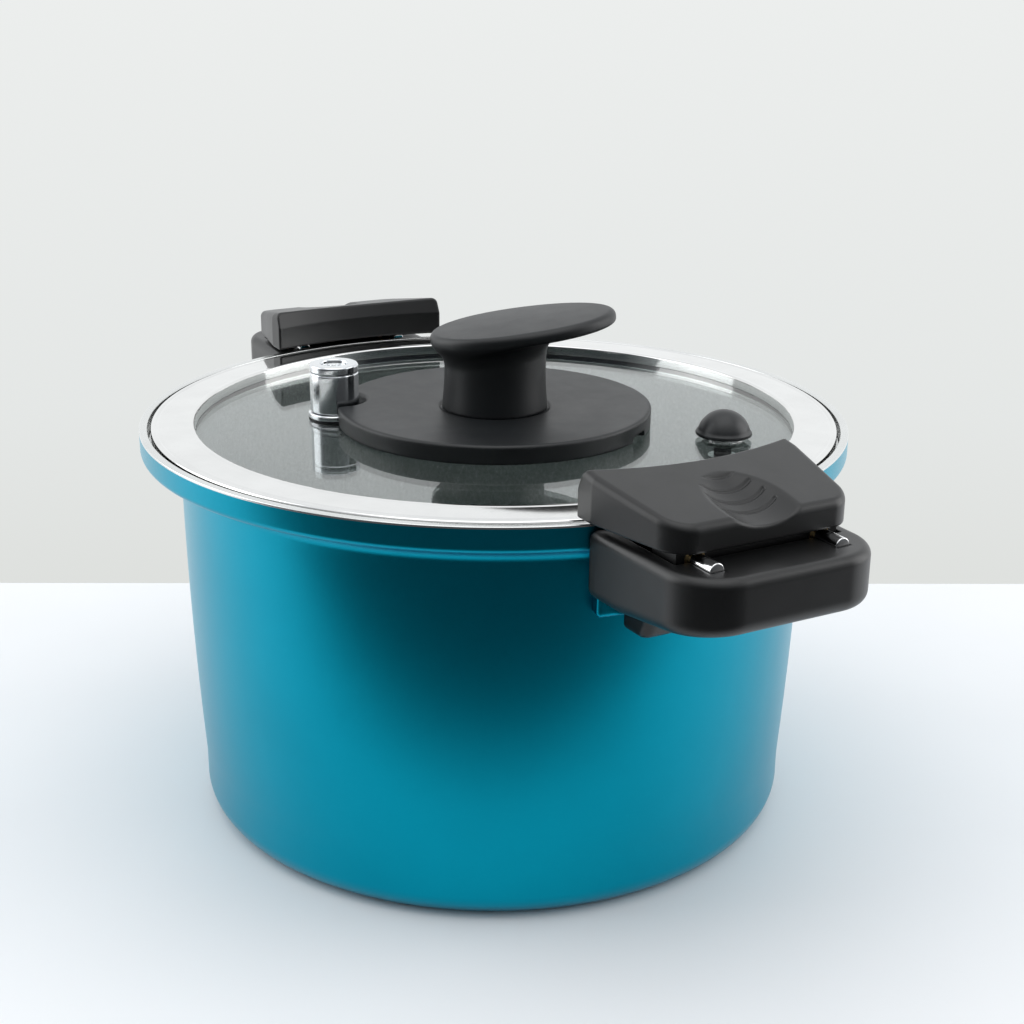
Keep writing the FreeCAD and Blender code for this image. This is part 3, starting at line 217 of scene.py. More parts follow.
def skin(field, low, high, step):
    """Quads over the surface where field is 0, with every vertex moved onto that surface."""
    low = np.array(low, float) - step * 2
    counts = np.ceil((np.array(high, float) + step * 2 - low) / step).astype(int) + 1
    axes = [low[a] + step * np.arange(counts[a]) for a in range(3)]
    grid = np.stack(np.meshgrid(*axes, indexing="ij"), axis=-1)
    values = np.empty(grid.shape[:3])
    for i in range(counts[0]):
        values[i] = field(grid[i].reshape(-1, 3)).reshape(counts[1:])
    inside = values < 0
    cell_count = counts - 1
    total = np.zeros(tuple(cell_count) + (3,))
    hits = np.zeros(tuple(cell_count))
    crossings = []
    # the mean of the crossings on a cell's edges is that cell's vertex
    for axis in range(3):
        near = [slice(None)] * 3
        far = [slice(None)] * 3
        near[axis] = slice(0, -1)
        far[axis] = slice(1, None)
        near, far = tuple(near), tuple(far)
        change = inside[near] != inside[far]
        where = np.argwhere(change)
        a = values[near][change]
        b = values[far][change]
        point = grid[near][change]
        point[:, axis] += step * a / (a - b)
        others = [o for o in range(3) if o != axis]
        for du in (0, -1):
            for dv in (0, -1):
                cell = where.copy()
                cell[:, others[0]] += du
                cell[:, others[1]] += dv
                good = np.all((cell >= 0) & (cell < cell_count), axis=1)
                index = tuple(cell[good].T)
                np.add.at(total, index, point[good])
                np.add.at(hits, index, 1)
        crossings.append((axis, others, where, inside[near][change]))
    used = hits > 0
    number = -np.ones(tuple(cell_count), int)
    number[used] = np.arange(used.sum())
    vertices = total[used] / hits[used][:, None]
    # each crossed edge gives one quad between its four cells, turned to face outward
    faces = []
    for axis, others, where, starts_inside in crossings:
        u = np.zeros(3, int)
        v = np.zeros(3, int)
        u[others[0]] = 1
        v[others[1]] = 1
        quad = [number[tuple((where + d).T)] for d in (-u - v, -v, 0 * u, -u)]
        quad = np.stack(quad, axis=1)
        flip = starts_inside if axis != 1 else ~starts_inside
        quad[~flip] = quad[~flip][:, ::-1]
        faces.append(quad)
    # a move is never longer than half a cell, so that no quad folds over
    for _ in range(SETTLE_ROUNDS):
        slope = gradient(field, vertices)
        size = np.maximum((slope ** 2).sum(axis=1), LEAST_SLOPE)
        move = slope * (field(vertices) / size)[:, None]
        length = np.linalg.norm(move, axis=1)
        move *= np.minimum(1, step * 0.5 / np.maximum(length, 1e-9))[:, None]
        vertices = vertices - move
    return vertices, np.concatenate(faces)


def turned_round(vertices, faces):
    """The same vertices turned half round, for the rear side of the cooker."""
    return np.array(vertices, float) * (-1, -1, 1), faces


# ---------------------------------------------------------------- materials

def new_material(name):
    """A material with nodes, its tree and its Principled shader."""
    made = bpy.data.materials.new(name)
    made.use_nodes = True
    tree = made.node_tree
    shader = tree.nodes["Principled BSDF"]
    return made, tree, shader


def add_node(tree, kind, inputs=(), **settings):
    """A node with its settings and its unlinked input values."""
    made = tree.nodes.new(kind)
    for key, value in settings.items():
        setattr(made, key, value)
    for key, value in dict(inputs).items():
        made.inputs[key].default_value = value
    return made


def noise_node(tree, scale, detail, roughness=0.5):
    """Noise in the object's own coordinates, so that it moves with the piece."""
    place = add_node(tree, "ShaderNodeTexCoord")
    made = add_node(tree, "ShaderNodeTexNoise",
                    {"Scale": scale, "Detail": detail, "Roughness": roughness})
    tree.links.new(place.outputs["Object"], made.inputs["Vector"])
    return made


def ramp(tree, source, stops):
    """A colour ramp; stops are (position, (r, g, b))."""
    made = add_node(tree, "ShaderNodeValToRGB")
    elements = made.color_ramp.elements
    while len(elements) < len(stops):
        elements.new(0.5)
    for element, (position, colour) in zip(elements, stops):
        element.position = position
        element.color = (*colour, 1.0)
    tree.links.new(source, made.inputs["Fac"])
    return made.outputs["Color"]


def spread(tree, source, low, high):
    """Maps a 0 to 1 value to low to high."""
    made = add_node(tree, "ShaderNodeMapRange", {"To Min": low, "To Max": high})
    tree.links.new(source, made.inputs["Value"])
    return made.outputs["Result"]


def map_range(tree, source, low, high):
    """Maps a value from low to high to 0 to 1, and keeps it within 0 and 1."""
    made = add_node(tree, "ShaderNodeMapRange", {"From Min": low, "From Max": high})
    tree.links.new(source, made.inputs["Value"])
    return made.outputs["Result"]


def mixed_colour(tree, share, first, second):
    """First colour at share 0, second at share 1; second is an output or a plain colour."""
    made = add_node(tree, "ShaderNodeMix", data_type="RGBA")
    tree.links.new(share, made.inputs["Factor"])
    tree.links.new(first, made.inputs["A"])
    if isinstance(second, tuple):
        made.inputs["B"].default_value = second
    else:
        tree.links.new(second, made.inputs["B"])
    return made.outputs["Result"]


def bump(tree, shader, source, strength, distance):
    made = add_node(tree, "ShaderNodeBump", {"Strength": strength, "Distance": distance})
    tree.links.new(source, made.inputs["Height"])
    tree.links.new(made.outputs["Normal"], shader.inputs["Normal"])


def plastic(name, dark, light, roughness, grain, grain_depth):
    """Moulded plastic: a fine spark-eroded grain, faint colour clouds and handling marks."""
    made, tree, shader = new_material(name)
    clouds = noise_node(tree, 38.0, 4.0)
    tree.links.new(ramp(tree, clouds.outputs["Fac"], [(0.3, dark), (0.7, light)]),
                   shader.inputs["Base Color"])
    wear = noise_node(tree, 95.0, 5.0, 0.65)
    tree.links.new(spread(tree, wear.outputs["Fac"], roughness - 0.06, roughness + 0.07),
                   shader.inputs["Roughness"])
    fine = noise_node(tree, grain, 2.0)
    bump(tree, shader, fine.outputs["Fac"], 0.35, grain_depth * MM)
    return made


def pot_coating():
    """Metallic teal ceramic coat: fine flecks, a clear gloss over them and soft colour clouds."""
    made, tree, shader = new_material("teal_coating")
    clouds = noise_node(tree, 22.0, 4.0)
    teal = ramp(tree, clouds.outputs["Fac"],
                [(0.25, (0.0, 0.285, 0.41)), (0.75, (0.0, 0.315, 0.45))])
    flecks = noise_node(tree, 5200.0, 1.0)
    bright = add_node(tree, "ShaderNodeMix", data_type="RGBA", blend_type="ADD")
    sparkle = add_node(tree, "ShaderNodeMapRange",
                       {"From Min": 0.66, "From Max": 0.8, "To Min": 0.0, "To Max": 0.55})
    tree.links.new(flecks.outputs["Fac"], sparkle.inputs["Value"])
    tree.links.new(sparkle.outputs["Result"], bright.inputs["Factor"])
    tree.links.new(teal, bright.inputs["A"])
    bright.inputs["B"].default_value = (0.02, 0.3, 0.34, 1.0)
    tree.links.new(bright.outputs["Result"], shader.inputs["Base Color"])
    shader.inputs["Metallic"].default_value = 1.0
    tree.links.new(spread(tree, flecks.outputs["Fac"], 0.26, 0.38), shader.inputs["Roughness"])
    shader.inputs["Coat Weight"].default_value = 0.04
    shader.inputs["Coat Roughness"].default_value = 0.15
    bump(tree, shader, flecks.outputs["Fac"], 0.25, 0.02 * MM)
    return made


def inner_coating():
    """Grey speckled non-stick coat inside the pot."""
    made, tree, shader = new_material("inner_coating")
    speckle = noise_node(tree, 900.0, 3.0)
    grey = ramp(tree, speckle.outputs["Fac"],
                [(0.35, (0.34, 0.36, 0.355)), (0.62, (0.46, 0.48, 0.47)), (0.75, (0.62, 0.64, 0.63))])
    tree.links.new(grey, shader.inputs["Base Color"])
    shader.inputs["Roughness"].default_value = 0.38
    bump(tree, shader, speckle.outputs["Fac"], 0.2, 0.03 * MM)
    return made


# how far scratches change a metal's roughness, and how much darker its clouds are
SCRATCH_SPREAD = 0.03
CLOUD_SHADE = 0.93


def metal(name, colour, roughness, depth, rings=False):
    """Bare metal: fine scratches, and turned rings or a brushed grain of the given depth."""
    made, tree, shader = new_material(name)
    clouds = noise_node(tree, 60.0, 4.0)
    dim = tuple(c * CLOUD_SHADE for c in colour)
    tree.links.new(ramp(tree, clouds.outputs["Fac"], [(0.3, dim), (0.7, colour)]),
                   shader.inputs["Base Color"])
    shader.inputs["Metallic"].default_value = 1.0
    scratches = noise_node(tree, 420.0, 6.0, 0.7)
    worn = spread(tree, scratches.outputs["Fac"],
                  roughness - SCRATCH_SPREAD, roughness + SCRATCH_SPREAD)
    tree.links.new(worn, shader.inputs["Roughness"])
    if rings:
        place = add_node(tree, "ShaderNodeTexCoord")
        wave = add_node(tree, "ShaderNodeTexWave", {"Scale": 380.0, "Distortion": 0.6, "Detail": 2.0},
                        wave_type="RINGS", rings_direction="Z")
        tree.links.new(place.outputs["Object"], wave.inputs["Vector"])
        bump(tree, shader, wave.outputs["Fac"], 0.3, depth * MM)
    else:
        bump(tree, shader, scratches.outputs["Fac"], 0.25, depth * MM)
    return made


def rubber(name, dark, light):
    """Satin silicone with a little dust on it."""
    made, tree, shader = new_material(name)
    dust = noise_node(tree, 260.0, 5.0, 0.65)
    tree.links.new(ramp(tree, dust.outputs["Fac"], [(0.35, dark), (0.75, light)]),
                   shader.inputs["Base Color"])
    tree.links.new(spread(tree, dust.outputs["Fac"], 0.3, 0.5), shader.inputs["Roughness"])
    bump(tree, shader, dust.outputs["Fac"], 0.15, 0.03 * MM)
    return made


def lid_glass():
    """Tempered glass with a faint green-grey tint and the haze of handled kitchen glass."""
    made, tree, shader = new_material("lid_glass")
    shader.inputs["Transmission Weight"].default_value = 1.0
    shader.inputs["IOR"].default_value = 1.5
    haze = noise_node(tree, 45.0, 5.0, 0.6)
    tint = ramp(tree, haze.outputs["Fac"],
                [(0.3, (0.80, 0.87, 0.855)), (0.7, (0.84, 0.90, 0.885))])
    tree.links.new(tint, shader.inputs["Base Color"])
    tree.links.new(spread(tree, haze.outputs["Fac"], 0.0, 0.035), shader.inputs["Roughness"])
    return made


TEAL = pot_coating()
INNER = inner_coating()
RIM_METAL = metal("machined_rim", (0.74, 0.75, 0.74), 0.22, 0.01, rings=True)
BAND_METAL = metal("polished_band", (0.82, 0.82, 0.81), 0.07, 0.004)
BASE_METAL = metal("base_steel", (0.6, 0.6, 0.59), 0.32, 0.02, rings=True)
ROD_METAL = metal("rod_steel", (0.8, 0.8, 0.8), 0.12, 0.004)
VALVE_METAL = metal("valve_aluminium", (0.78, 0.8, 0.82), 0.14, 0.004)
FASTENER_METAL = metal("fastener_steel", (0.6, 0.6, 0.6), 0.28, 0.01)
BRASS = metal("insert_brass", (0.72, 0.52, 0.24), 0.3, 0.01)
HANDLE_PLASTIC = plastic("handle_plastic", (0.004, 0.0042, 0.0044), (0.0075, 0.0078, 0.008),
                         0.36, 2600.0, 0.05)
KNOB_PLASTIC = plastic("knob_plastic", (0.002, 0.0032, 0.0042), (0.004, 0.0056, 0.0068),
                       0.44, 3200.0, 0.04)
SILICONE = rubber("black_silicone", (0.008, 0.009, 0.01), (0.016, 0.018, 0.02))
GLASS = lid_glass()


# ---------------------------------------------------------------- pot

# sizes of the cast pot that the boxes of the frame don't give
RIM_LIP = 2.9
STEP_DEPTH = 5.6
STEP_WIDTH = 2.8
SEAT_DEPTH = 9.0
WALL = 4.0
BODY_RADIUS = RIM_RADIUS - 14.0
BODY_LOW_RADIUS = BODY_RADIUS - 3.6
BODY_TOP = RIM_TOP - 20.2
FLOOR = 6.0
FOOT = 0.3
CORNER = 16.0
DISC_RADIUS = half_span("induction_disc", 0)
DISC_THICK = 3.0
BELLY = 0.9
LUG_FACE = BODY_RADIUS + 5.2
LUG_LOW = RIM_TOP - 35.0
LUG_HIGH = RIM_TOP - 14.5
LUG_ANGLE = math.radians(13.0)
LUG_HALF = 34.0
SIDE_PIECES = 26
RIM_EDGE = RIM_TOP - 0.8


def bowed_side(start, end, bulge):
    """Points of a side that bows outward by bulge at its middle, without its two ends."""
    shares = np.linspace(0, 1, SIDE_PIECES + 1)[1:-1]
    start, end = np.array(start, float), np.array(end, float)
    points = start + (end - start) * shares[:, None]
    points[:, 0] += bulge * 4 * shares * (1 - shares)
    return points


def build_pot():
    """Whole skin of the pot in one outline: coated outside, bare rim, coated inside."""
    under = rounded_path([
        (0.0, DISC_THICK + 0.1, 0), (DISC_RADIUS + 0.1, DISC_THICK + 0.1, 0.3),
        (DISC_RADIUS + 0.1, FOOT, 0.3), (BODY_LOW_RADIUS, FOOT, CORNER),
        (BODY_LOW_RADIUS, FOOT + CORNER * 1.2, 0)], 5.0)
    side = bowed_side(under[-1], (BODY_RADIUS, BODY_TOP), BELLY)
    rim = rounded_path([
        (BODY_RADIUS, BODY_TOP, 0), (BODY_RADIUS, BODY_TOP + 6.6, 5.6),
        (RIM_RADIUS, RIM_TOP - 8.6, 2.4), (RIM_RADIUS, RIM_EDGE, 0)], 4.0)
    lip_radius = RIM_RADIUS - RIM_LIP
    step_radius = lip_radius - STEP_WIDTH
    wall_radius = BODY_RADIUS - WALL
    wall_low_radius = BODY_LOW_RADIUS - WALL
    bare = rounded_path([
        (RIM_RADIUS, RIM_EDGE, 0), (RIM_RADIUS, RIM_TOP, 0.5), (lip_radius, RIM_TOP, 0.5),
        (lip_radius, RIM_TOP - STEP_DEPTH, 0.4), (step_radius, RIM_TOP - STEP_DEPTH, 0.4),
        (step_radius, RIM_TOP - SEAT_DEPTH, 0.4), (wall_radius, RIM_TOP - SEAT_DEPTH, 0.6),
        (wall_radius, RIM_TOP - SEAT_DEPTH - 2.0, 0)], 12.0)
    inside = bowed_side((wall_radius, BODY_TOP), (wall_low_radius, FLOOR + CORNER), BELLY)
    floor = rounded_path([
        (wall_low_radius, FLOOR + CORNER, 0), (wall_low_radius, FLOOR, CORNER - 1),
        (0.0, FLOOR, 0)], 5.0)
    outer = np.concatenate([under, side, rim])
    path = np.concatenate([outer, bare[1:], inside, floor])
    vertices, faces, rows = revolve(path, 256)
    bare_start = len(outer) - 1
    bare_end = bare_start + len(bare) - 1
    kinds = [0 if row < bare_start else 1 if row < bare_end else 2 for row in rows]
    return make_object("pot_skin", vertices, faces, [TEAL, RIM_METAL, INNER], kinds)


def lug_field(p):
    """Cast lug on the pot's side that a handle is screwed to."""
    radius = np.hypot(p[:, 0], p[:, 1])
    angle = np.abs(np.arctan2(p[:, 1], p[:, 0])) - LUG_ANGLE
    block = round_meet(radius - LUG_FACE, angle * radius, 1.6)
    tall = np.abs(p[:, 2] - (LUG_LOW + LUG_HIGH) / 2) - (LUG_HIGH - LUG_LOW) / 2
    block = round_meet(block, tall, 1.4)
    return np.maximum(block, BODY_RADIUS - 2.0 - radius)


# ---------------------------------------------------------------- side handles

HANDLE_TOP = HANDLE_HIGH[2]
HANDLE_REACH = HANDLE_HIGH[0]
HANDLE_HALF = HANDLE_HIGH[1]
HANDLE_LOW_Z = HANDLE_TOP - 22.5
HANDLE_INNER = RIM_RADIUS + 0.6
HANDLE_RISE = 5.0
HANDLE_NARROW = 1.5
HANDLE_CORNER = 17.0
BOSS_FACE = LUG_FACE + 0.3
BOSS_END = BOSS_FACE + 18.0
BOSS_LOW = HANDLE_LOW[2]
BOSS_HALF = 19.0
BOSS_TAPER = 8.0
SCREW_Z = RIM_TOP - 26.5
SCREW_Y = 10.0
SCREW_BORE = 2.7
SCREW_SINK = 5.5
SINK_DEEP = 8.0
ROD_RADIUS = (ROD_HIGH[2] - ROD_LOW[2]) / 2
ROD_Y = ROD_HIGH[1] - ROD_RADIUS
ROD_Z = (ROD_HIGH[2] + ROD_LOW[2]) / 2
ROD_START = ROD_LOW[0]
ROD_END = ROD_HIGH[0]
CARRIAGE_LOW = node_box("front_lock_carriage")[0]
CARRIAGE_X0 = RIM_RADIUS + 19.0
CARRIAGE_X1 = RIM_RADIUS + 31.0
CARRIAGE_Y = ROD_Y + 6.5
BALL_LOW, BALL_HIGH = node_box("front_detent_ball")
BALL_X = (BALL_LOW[0] + BALL_HIGH[0]) / 2
SPRING_LOW = node_box("front_detent_spring")[0]
PIT_RADIUS = 2.15
LOCK_TRAVEL = 9.0
WELL_CLEAR = 0.8
ROD_CLEAR = 0.08
# the outlines seen from above reach this far in from their outer ends
PLAN_DEPTH = 60.0


def plan_field(p, reach, half, narrow, corner):
    """Outline seen from above: straight sides that close in by narrow, round outer corners."""
    share = np.clip((p[:, 0] - RIM_RADIUS) / (reach - RIM_RADIUS), 0, 1)
    y = np.abs(p[:, 1]) * half / (half - narrow * share)
    qx = np.abs(p[:, 0] - reach + PLAN_DEPTH) - (PLAN_DEPTH - corner)
    qy = y - (half - corner)
    outside = np.hypot(np.maximum(qx, 0), np.maximum(qy, 0))
    return outside + np.minimum(np.maximum(qx, qy), 0) - corner


def rod_pair_field(p, radius, start, end):
    """Two rods along X as one field."""
    off_axis = np.hypot(np.abs(p[:, 1]) - ROD_Y, p[:, 2] - ROD_Z) - radius
    along = np.maximum(start - p[:, 0], p[:, 0] - end)
    return np.maximum(off_axis, along)


def handle_field(p):
    """Moulded side handle with its boss, rod grooves, carriage well and screw bores."""
    x, y, z = p.T
    radius = np.hypot(x, y)
    outline = plan_field(p, HANDLE_REACH, HANDLE_HALF, HANDLE_NARROW, HANDLE_CORNER)
    rise = np.clip((x - BOSS_END) / (HANDLE_REACH - BOSS_END), 0, 1.2)
    under = HANDLE_LOW_Z + HANDLE_RISE * rise
    slab = round_meet(outline, z - HANDLE_TOP, 3.0)
    slab = round_meet(slab, under - z, 4.5)
    slab = round_meet(slab, HANDLE_INNER - radius, 0.9)
    drop = np.clip((HANDLE_LOW_Z - z) / (HANDLE_LOW_Z - BOSS_LOW), 0, 1)
    boss_end = BOSS_END - BOSS_TAPER * drop
    boss = round_meet(np.abs(y) - BOSS_HALF, x - boss_end, 3.5)
    boss = round_meet(boss, BOSS_LOW - z, 2.0)
    boss = round_meet(boss, z - LUG_HIGH, 0.8)
    boss = round_meet(boss, BOSS_FACE - radius, 0.8)
    solid = round_join(slab, boss, 5.0)
    solid = round_meet(solid, BOSS_FACE - radius, 0.6)
    solid = np.where(z > LUG_HIGH - 0.1, np.maximum(solid, HANDLE_INNER - radius), solid)
    well = np.maximum.reduce([
        CARRIAGE_LOW[2] - WELL_CLEAR - z,
        (CARRIAGE_X0 - LOCK_TRAVEL - WELL_CLEAR) - x,
        x - (CARRIAGE_X1 + WELL_CLEAR),
        np.abs(y) - (CARRIAGE_Y + WELL_CLEAR)])
    solid = round_meet(solid, -well, 0.5)
    grooves = rod_pair_field(p, ROD_RADIUS + ROD_CLEAR, ROD_START - 0.3, ROD_END + 0.3)
    solid = round_meet(solid, -grooves, 0.35)
    off_screw = np.hypot(np.abs(y) - SCREW_Y, z - SCREW_Z)
    bore = np.maximum(off_screw - SCREW_BORE, BOSS_FACE - 3 - x)
    sink = np.maximum(off_screw - SCREW_SINK, BOSS_END - SINK_DEEP - x)
    solid = round_meet(solid, -np.minimum(bore, sink), 0.4)
    pit = np.maximum(np.hypot(x - BALL_X, y) - PIT_RADIUS, SPRING_LOW[2] - 0.4 - z)
    return np.maximum(solid, -pit)


# ---------------------------------------------------------------- slide locks

LOCK_TOP = LOCK_HIGH[2]
LOCK_BOTTOM = LOCK_LOW[2]
LOCK_REACH = LOCK_HIGH[0]
LOCK_HALF = LOCK_HIGH[1]
LOCK_INNER = RIM_RADIUS - 2.3
LOCK_CREASE = LOCK_BOTTOM + 9.3
LOCK_FACET = 2.6
LOCK_NARROW = 6.5
LOCK_CORNER = 9.0
LOCK_DRAFT = 0.05
# the top drops by LOCK_SLOPE from the inner corners to the outer end, and LOCK_TILT is the cosine
# of its angle, which turns a height above it into a distance
LOCK_SLOPE = 7.8
LOCK_TILT = 0.984
LOCK_CORNER_X = math.sqrt(LOCK_INNER ** 2 - LOCK_HALF ** 2)
THUMB_X = RIM_RADIUS + 26.5
THUMB_LONG = 20.5
THUMB_WIDE = 14.5
# the recess is cut by an ellipsoid whose centre stands THUMB_OVER above the top; its outer half is
# stretched, so that it runs out over the edge
THUMB_OVER = 4.5
THUMB_DIP = 3.7
THUMB_STRETCH = 0.55
GROOVES = (10.5, 16.0, 21.5, 27.0)
GROOVE_BOW = 26.0
GROOVE_RADIUS = 0.65
GROOVE_SHARE = 0.74
HOLLOW_START = LOCK_INNER + 3.0 + LOCK_FACET
HOLLOW_END = LOCK_REACH - 4.0
HOLLOW_HALF = LOCK_HALF - 10.0
HOLLOW_DEEP = 3.4
CARRIAGE_PLATE = 2.5
POST_X = CARRIAGE_X0 + 6.0
POST_Y = 10.0
POST_RADIUS = 3.4
POST_BORE = 1.55


def lock_top(x):
    """Height of the sloping top of a lock cover."""
    return LOCK_TOP - LOCK_SLOPE * (x - LOCK_CORNER_X) / (LOCK_REACH - LOCK_CORNER_X)


def lock_field(p):
    """Sliding lock cover: faceted inner face, oval thumb recess with four curved grooves."""
    x, y, z = p.T
    radius = np.hypot(x, y)
    outline = plan_field(p, LOCK_REACH, LOCK_HALF, LOCK_NARROW, LOCK_CORNER)
    outline = outline + LOCK_DRAFT * np.maximum(z - LOCK_CREASE, 0)
    over = (z - lock_top(x)) * LOCK_TILT
    solid = round_meet(outline, over, 2.4)
    solid = round_meet(solid, LOCK_BOTTOM - z, 0.8)
    lean = np.clip((z - LOCK_CREASE) / (LOCK_TOP - LOCK_CREASE), 0, 1.3)
    solid = round_meet(solid, LOCK_INNER + LOCK_FACET * lean - radius, 0.8)

    qx = (x - THUMB_X) / THUMB_LONG
    qy = y / THUMB_WIDE
    deep = THUMB_OVER + THUMB_DIP
    qz = (z - lock_top(x) - THUMB_OVER) / deep
    level = np.sqrt(np.where(x > THUMB_X, (qx * THUMB_STRETCH) ** 2, qx ** 2) + qy ** 2 + qz ** 2)
    steep = np.sqrt((qx / THUMB_LONG) ** 2 + (qy / THUMB_WIDE) ** 2 + (qz / deep) ** 2)
    thumb = level * (level - 1) / np.maximum(steep, 1e-3)
    solid = round_meet(solid, -thumb, 0.8)
    for away in GROOVES:
        middle = RIM_RADIUS + away
        from_arc = np.hypot(x - middle + GROOVE_BOW, y) - GROOVE_BOW
        oval = max(0.25, 1 - ((middle - THUMB_X) / THUMB_LONG) ** 2)
        width = THUMB_WIDE * GROOVE_SHARE * math.sqrt(oval)
        cut = np.maximum(np.hypot(from_arc, thumb) - GROOVE_RADIUS, np.abs(y + 0.5) - width)
        solid = round_meet(solid, -cut, 0.3)

    hollow = np.maximum.reduce([
        z - (LOCK_BOTTOM + HOLLOW_DEEP), HOLLOW_START - x, x - HOLLOW_END, np.abs(y) - HOLLOW_HALF])
    off_post = np.hypot(x - POST_X, np.abs(y) - POST_Y)
    post = np.maximum(off_post - POST_RADIUS, LOCK_BOTTOM + CARRIAGE_PLATE - z)
    solid = np.maximum(solid, -np.maximum(hollow, -post))
    hole = np.maximum(off_post - POST_BORE, z - (LOCK_BOTTOM + 6.0))
    return np.maximum(solid, -hole)


# ---------------------------------------------------------------- knob and its foot plate

KNOB_FOOT = KNOB_LOW[2]
CAP_Z = PLATE_HIGH[2] + 28.8
CAP_LONG = 34.0
CAP_WIDE = 25.8
CAP_UNDER = 2.2
CAP_OVER = 2.4
CAP_CROWN = 1.0
CAP_SHIFT = 10.6
CAP_TILT = math.radians(8.3)
CAP_TURN = math.radians(60.0)
STEM_RADIUS = 19.7
STEM_WAIST = 0.9
STEM_JOIN = 8.5
SOCKET_RADIUS = 6.0
SOCKET_DEEP = 16.0
PLATE_RADIUS = PLATE_HIGH[0]
PLATE_FLAT = 42.0
PLATE_DISH = 1.2
PLATE_BORE = 3.4
BITE = 11.6
SEAM = 0.5
NOTCH_ANGLE = math.radians(35.0)
NOTCH_HALF = 5.0
NOTCH_DEEP = 2.6
NOTCH_TALL = 2.2
SEAL_RADIUS = 15.3
SEAL_DEEP = 0.55


def ellipse_field(u, v, half_u, half_v):
    """Near distance to an ellipse, and the level that is 0 at its centre and 1 on it."""
    level = np.hypot(u / half_u, v / half_v)
    steep = np.hypot(u / half_u ** 2, v / half_v ** 2)
    return level * (level - 1) / np.maximum(steep, 1e-6), level


def knob_field(p):
    """Oval cap, tilted and shifted on a waisted stem that flares out into it."""
    x, y, z = p.T
    along = x * math.cos(CAP_TURN) + y * math.sin(CAP_TURN) - CAP_SHIFT
    across = -x * math.sin(CAP_TURN) + y * math.cos(CAP_TURN)
    u = along * math.cos(CAP_TILT) + (z - CAP_Z) * math.sin(CAP_TILT)
    w = -along * math.sin(CAP_TILT) + (z - CAP_Z) * math.cos(CAP_TILT)
    oval, level = ellipse_field(u, across, CAP_LONG, CAP_WIDE)
    rise = np.clip((z - KNOB_FOOT) / (CAP_Z - KNOB_FOOT), 0, 1)
    stem = np.hypot(x - 0.3 * rise, y) - (STEM_RADIUS - STEM_WAIST * np.sin(rise * math.pi))
    body = round_join(round_meet(oval, -CAP_UNDER - w, 1.5), stem, STEM_JOIN)
    top = CAP_OVER + CAP_CROWN * (1 - np.minimum(level, 1.2) ** 2)
    solid = round_meet(body, w - top, 2.3)
    solid = round_meet(solid, KNOB_FOOT - z, 0.35)
    socket = np.maximum(np.hypot(x, y) - SOCKET_RADIUS, z - (KNOB_FOOT + SOCKET_DEEP))
    return np.maximum(solid, -socket)


def plate_field(p):
    """Foot plate: dished top with a crease, bite round the valve, small drain notch."""
    x, y, z = p.T
    radius = np.hypot(x, y)
    top = PLATE_HIGH[2]
    outer_share = (PLATE_RADIUS - radius) / (PLATE_RADIUS - PLATE_FLAT)
    inner_share = (PLATE_FLAT - radius) / (PLATE_FLAT - STEM_RADIUS)
    dish = PLATE_DISH / 3 * np.where(radius > PLATE_FLAT, outer_share, 1 + 2 * inner_share)
    surface = top - np.clip(dish, 0, PLATE_DISH)
    solid = round_meet(radius - PLATE_RADIUS + (top - z) * 0.02, z - surface, 1.0)
    solid = round_meet(solid, PLATE_LOW[2] - z, 0.5)
    bite = BITE - np.hypot(x - WEIGHT_CENTRE[0], y - WEIGHT_CENTRE[1])
    solid = round_meet(solid, bite, 1.1)
    seam = np.hypot(radius - STEM_RADIUS - SEAM, z - (top - PLATE_DISH)) - SEAM
    solid = np.maximum(solid, -seam)
    socket = np.maximum(radius - (STEM_RADIUS + 0.1), KNOB_FOOT - z)
    solid = np.maximum(solid, -socket)
    notch = np.maximum.reduce([
        np.abs(np.arctan2(y, x) - NOTCH_ANGLE) * radius - NOTCH_HALF,
        PLATE_RADIUS - NOTCH_DEEP - radius, z - (PLATE_LOW[2] + NOTCH_TALL)])
    solid = round_meet(solid, -notch, 0.4)
    seal_room = np.maximum(radius - SEAL_RADIUS, z - (PLATE_LOW[2] + SEAL_DEEP))
    solid = np.maximum(solid, -seal_room)
    return np.maximum(solid, PLATE_BORE - radius)


# ---------------------------------------------------------------- valves

WEIGHT_RADIUS = (WEIGHT_HIGH[0] - WEIGHT_LOW[0]) / 2
FLANGE_LOW, FLANGE_HIGH = node_box("vent_pipe")
FLANGE_RADIUS = (FLANGE_HIGH[0] - FLANGE_LOW[0]) / 2
SEAL_HIGH = node_box("vent_seal")[1][2]
FLANGE_TOP = SEAL_HIGH + 2.0
DOME_RADIUS = (PLUG_HIGH[0] - PLUG_LOW[0]) / 2
DOME_STEPS = 24
LINE_DROP = 3.2
CUP_RADIUS = 5.2
CUP_DEEP = 1.6
PIN_RADIUS = 1.5
PORT_COUNT = 4
PORT_RING = 3.3
PORT_RADIUS = 0.85
PORT_DEEP = 5.0
WEIGHT_BORE = 3.5
WEIGHT_BORE_TALL = 9.3
PIPE_BORE = 1.6
PIPE_RADIUS = 3.4
PIPE_TAIL = 5.0
TAIL_RADIUS = 3.2
TAIL_NECK = 2.7


